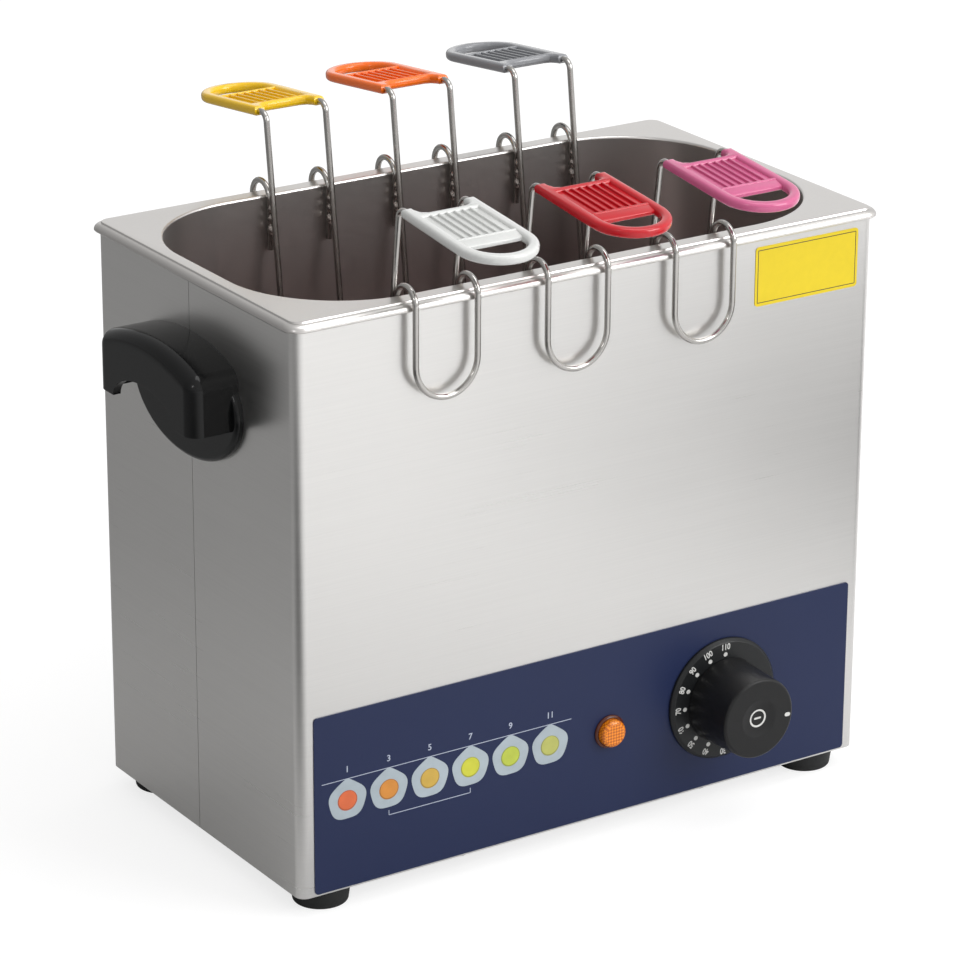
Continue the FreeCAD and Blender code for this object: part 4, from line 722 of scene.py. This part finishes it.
GRIP_THICK, GRIP_ROUND, GRIP_WIDE = 0.0048, 0.0019, 0.0198       # thickness, edges, half width
GRIP_START, EAR_END, SHOULDER, BOW = 0.0056, 0.0128, 0.0396, 0.0522  # along it: ears, rails, bow
EAR_HALF, CROTCH = 0.0028, 0.0042
FIELD_WIDE, FIELD_START, FIELD_END, BAR_END = 0.0146, 0.0162, 0.0456, 0.0522
RIBS, RIB_WIDE, RIB_TOP, WEB = 6, 0.0010, 0.0020, 0.0018
OVERLAP = 0.002                      # how far the web and the bar run into the rails, both sides added
LIP_LONG, LIP_HIGH = 0.0016, GRIP_THICK - 0.0004
BAR_THICK, BAR_RISE, BAR_SLOPE = 0.0024, 0.0002, radians(9)


def grip_slab(name):
    """The grip's rails, bow and crosspiece as a flat curve with rounded edges; the ears point to +Y."""
    curve = bpy.data.curves.new(name, "CURVE")
    curve.dimensions = "2D"
    curve.fill_mode = "BOTH"
    curve.bevel_depth, curve.bevel_resolution = GRIP_ROUND, 5
    curve.extrude = GRIP_THICK / 2 - GRIP_ROUND
    curve.offset = -GRIP_ROUND
    ear_in, ear_out = HALF_GAP - EAR_HALF, HALF_GAP + EAR_HALF
    half = [(ear_in - CROTCH, -EAR_END), (ear_in - CROTCH * 0.3, -EAR_END + CROTCH * 0.3),
            (ear_in, -EAR_END + CROTCH), (ear_in, -GRIP_START), (ear_out, -GRIP_START),
            (GRIP_WIDE, -SHOULDER)]
    bow = [(GRIP_WIDE * cos(t * pi / 32), -BOW - GRIP_WIDE * sin(t * pi / 32)) for t in range(33)]
    outer = half + bow + [(-x, y) for x, y in reversed(half)]
    hole = [(FIELD_WIDE, -FIELD_START), (-FIELD_WIDE, -FIELD_START)]
    hole += [(-FIELD_WIDE * cos(t * pi / 28), -BOW - FIELD_WIDE * sin(t * pi / 28)) for t in range(29)]
    for outline in (outer, hole):
        spline = curve.splines.new("POLY")
        spline.points.add(len(outline) - 1)
        for point, (x, y) in zip(spline.points, outline):
            point.co = (x, y, 0, 1)
        spline.use_cyclic_u = True
    carrier = bpy.data.objects.new(name, curve)
    scene.collection.objects.link(carrier)
    mesh = bpy.data.meshes.new_from_object(carrier.evaluated_get(bpy.context.evaluated_depsgraph_get()))
    bpy.data.objects.remove(carrier)
    return mesh


def block(work, place, extent, edge, slope=0.0):
    """A small block with rounded edges, added to a mesh in the making, tipped about X by the slope."""
    made = bmesh.ops.create_cube(work, size=1)
    turn = Matrix.Translation(place) @ Matrix.Rotation(slope, 4, "X") @ Matrix.Diagonal((*extent, 1))
    bmesh.ops.transform(work, matrix=turn, verts=made["verts"])
    edges = list({e for v in made["verts"] for e in v.link_edges})
    bmesh.ops.bevel(work, geom=edges, offset=edge, segments=3, affect="EDGES", profile=0.5)


def grip_mesh(name):
    """Rails and bow, the thin web between them, its ribs, and the lip and sloping bar before the slot."""
    work = bmesh.new()
    work.from_mesh(grip_slab(name))
    length, middle = FIELD_END - FIELD_START, -(FIELD_START + FIELD_END) / 2
    across = 2 * FIELD_WIDE + OVERLAP
    block(work, (0, middle, 0), (across, length + OVERLAP, WEB), edge=0.0002)
    pitch = 2 * FIELD_WIDE / (RIBS + 1)
    for n in range(RIBS):
        x = (n - (RIBS - 1) / 2) * pitch
        block(work, (x, middle, 0), (RIB_WIDE, length, 2 * RIB_TOP), edge=0.00035)
    block(work, (0, -FIELD_END, 0), (across, LIP_LONG, LIP_HIGH), edge=0.0006)
    bar_wide = BAR_END - FIELD_END
    bar_place = (0, -FIELD_END - bar_wide / 2, BAR_RISE)
    block(work, bar_place, (across, bar_wide, BAR_THICK), edge=0.0008, slope=BAR_SLOPE)
    bmesh.ops.remove_doubles(work, verts=work.verts, dist=1e-7)
    mesh = bpy.data.meshes.new(name)
    work.to_mesh(mesh)
    work.free()
    return smoothed(mesh, sharp=40)


def beads(name, places):
    """Little lumps of weld, each an uneven ball of (place, radius)."""
    work = bmesh.new()
    for place, radius in places:
        ball = bmesh.ops.create_icosphere(work, subdivisions=2, radius=radius)
        for n, vert in enumerate(ball["verts"]):
            uneven = 1 + 0.12 * sin(7 * n + 900 * place[2])
            vert.co = Vector(place) + Vector((vert.co.x * 0.9, vert.co.y, vert.co.z * 1.1)) * uneven
    mesh = bpy.data.meshes.new(name)
    work.to_mesh(mesh)
    work.free()
    return smoothed(mesh, sharp=80)


# the welds of the hook's inner legs to the uprights, each (height, radius), and those of the ring, which
# lie a little inwards of the uprights on the side of the egg
HOOK_WELDS = ((0.2860, 0.0021), (0.2812, 0.0024), (0.2762, 0.0025))
RING_WELD, RING_WELD_X, RING_WELD_IN = 0.0014, HALF_GAP * 0.97, WIRE * 0.9
for side, shift, colours in HOLDER_ROWS:
    for n, colour in enumerate(colours):
        middle = shift + (n - 1) * HOLDER_PITCH
        turn = Matrix.Translation((middle, 0, 0)) @ (Matrix.Rotation(pi, 4, "Z") if side > 0 else Matrix())
        body, name = f"{colour}_holder", f"{colour}_holder"
        half = [(-HALF_GAP, -upright(GRIP_Z) - WIRE_IN_GRIP * cos(DROOP), GRIP_Z - WIRE_IN_GRIP * sin(DROOP)),
                (-HALF_GAP, -upright(GRIP_Z), GRIP_Z),
                (-HALF_GAP, -upright(SEAT_Z), SEAT_Z),
                (-HALF_GAP, SEAT_LONG - upright(SEAT_Z), SEAT_Z)]
        frame_path = mirrored(half, [BEND, BEND, HALF_GAP])
        half = [(-HALF_GAP, -LEG, ARCH_Z - LEG_LONG), (-HALF_GAP, -LEG, ARCH_Z + ARCH_HIGH),
                (-HALF_GAP, -LOOP, ARCH_Z + ARCH_HIGH), (-HALF_GAP, -LOOP, TAIL_Z)]
        hook_path = mirrored(half, [ARCH_BEND, ARCH_BEND, HALF_GAP])
        apart = RING_RADIUS + WIRE + RING_WIRE + WELD_GAP
        ring_y = upright(RING_Z) - sqrt(apart ** 2 - HALF_GAP ** 2)
        turns = [2 * pi * t / RING_POINTS for t in range(RING_POINTS)]
        ring = [(RING_RADIUS * cos(t), -ring_y + RING_RADIUS * sin(t), RING_Z) for t in turns]
        for part, (points, bends), radius in (("frame", frame_path, WIRE), ("hook", hook_path, WIRE),
                                              ("ring", (ring, [0] * RING_POINTS), RING_WIRE)):
            seed = wire(f"{name}_{part}_seed", points, bends, closed=part == "ring")
            mesh = grown(wire_tree, seed, Wire_radius=radius, Bend_steps=12, Steel=wire_steel)
            mesh.transform(turn)
            smoothed(mesh, sharp=50)
            piece(f"{name}_{part}_wire", mesh, wire_steel, body, "wire_steel", f"{name}_{part}")
        weld_places = [((a * HALF_GAP, -(LEG + upright(z)) / 2, z), radius) for a in (-1, 1)
                       for z, radius in HOOK_WELDS]
        weld_places += [((a * RING_WELD_X, -upright(RING_Z) + RING_WELD_IN, RING_Z), RING_WELD)
                        for a in (-1, 1)]
        welds = beads(f"{name}_weld_beads", weld_places)
        welds.transform(turn)
        piece(f"{name}_welds", welds, weld_steel, body, "wire_steel")
        grip = grip_mesh(f"{name}_grip_shape")
        tilt = Matrix.Translation((0, -upright(GRIP_Z), GRIP_Z)) @ Matrix.Rotation(DROOP, 4, "X")
        grip.transform(turn @ tilt)
        plastic = finish(f"{colour}_grip_plastic", GRIP_COLOURS[colour], (0.16, 0.24),
                         grain=(700, 700, 700), tone=0.04, relief=0.000001, cloud=40,
                         Specular_IOR_Level=0.4, Coat_Weight=0.4, Coat_Roughness=0.06)
        piece(f"{name}_grip_moulding", grip, plastic, body, f"{colour}_plastic", f"{name}_grip")


# ---- Cord gland ----------------------------------------------------------------------------------
# A black nylon gland for the mains cord, screwed into a hole low in the back wall, with its cap
# outside and its locknut inside.

gland_nylon = finish("black_nylon", (0.02, 0.02, 0.021), (0.35, 0.5), grain=(900, 900, 900), tone=0.2)
for node in ("gland_body", "gland_cap", "gland_locknut"):
    evened(piece(f"{node}_nylon", copied(node), gland_nylon, "casing", "black_plastic", node), SMALL_EDGE)


# ---- Under the tank ------------------------------------------------------------------------------
# The sheathed heating element clamped under the tank, the thermostat with its copper bulb, the
# cut-out, the ceramic terminal block and the brass earth stud: all seen only with the base plate off.

copper = finish("copper_tube_skin", (0.62, 0.30, 0.17), (0.2, 0.32), metal=1.0, tone=0.1, relief=0.000004)
brass = finish("turned_brass", (0.62, 0.43, 0.16), (0.2, 0.3), metal=1.0, tone=0.08, relief=0.000004)
sheath = finish("element_sheath", (0.30, 0.27, 0.25), (0.35, 0.5), metal=1.0, grain=(300, 300, 300),
                tone=0.15, relief=0.000006)
phenolic = finish("brown_phenolic", (0.05, 0.03, 0.02), (0.4, 0.55), grain=(500, 500, 500), tone=0.2)
ceramic = finish("terminal_ceramic", (0.74, 0.72, 0.66), (0.4, 0.55), grain=(500, 500, 500), tone=0.05)
for node, material, slot in (("thermostat_capillary", copper, "copper_tube"),
                             ("thermostat_bulb", copper, "copper_tube"),
                             ("heating_element", sheath, "wire_steel"),
                             ("thermal_cutout", phenolic, "phenolic"),
                             ("terminal_block", ceramic, "terminal_plastic"),
                             ("earth_stud", brass, "brass"),
                             ("bulb_clip", galvanised, "galvanised_steel"),
                             ("thermostat_body", galvanised, "galvanised_steel"),
                             ("element_clamps", galvanised, "galvanised_steel")):
    evened(piece(f"{node}_dressed", copied(node), material, "casing", slot, node))
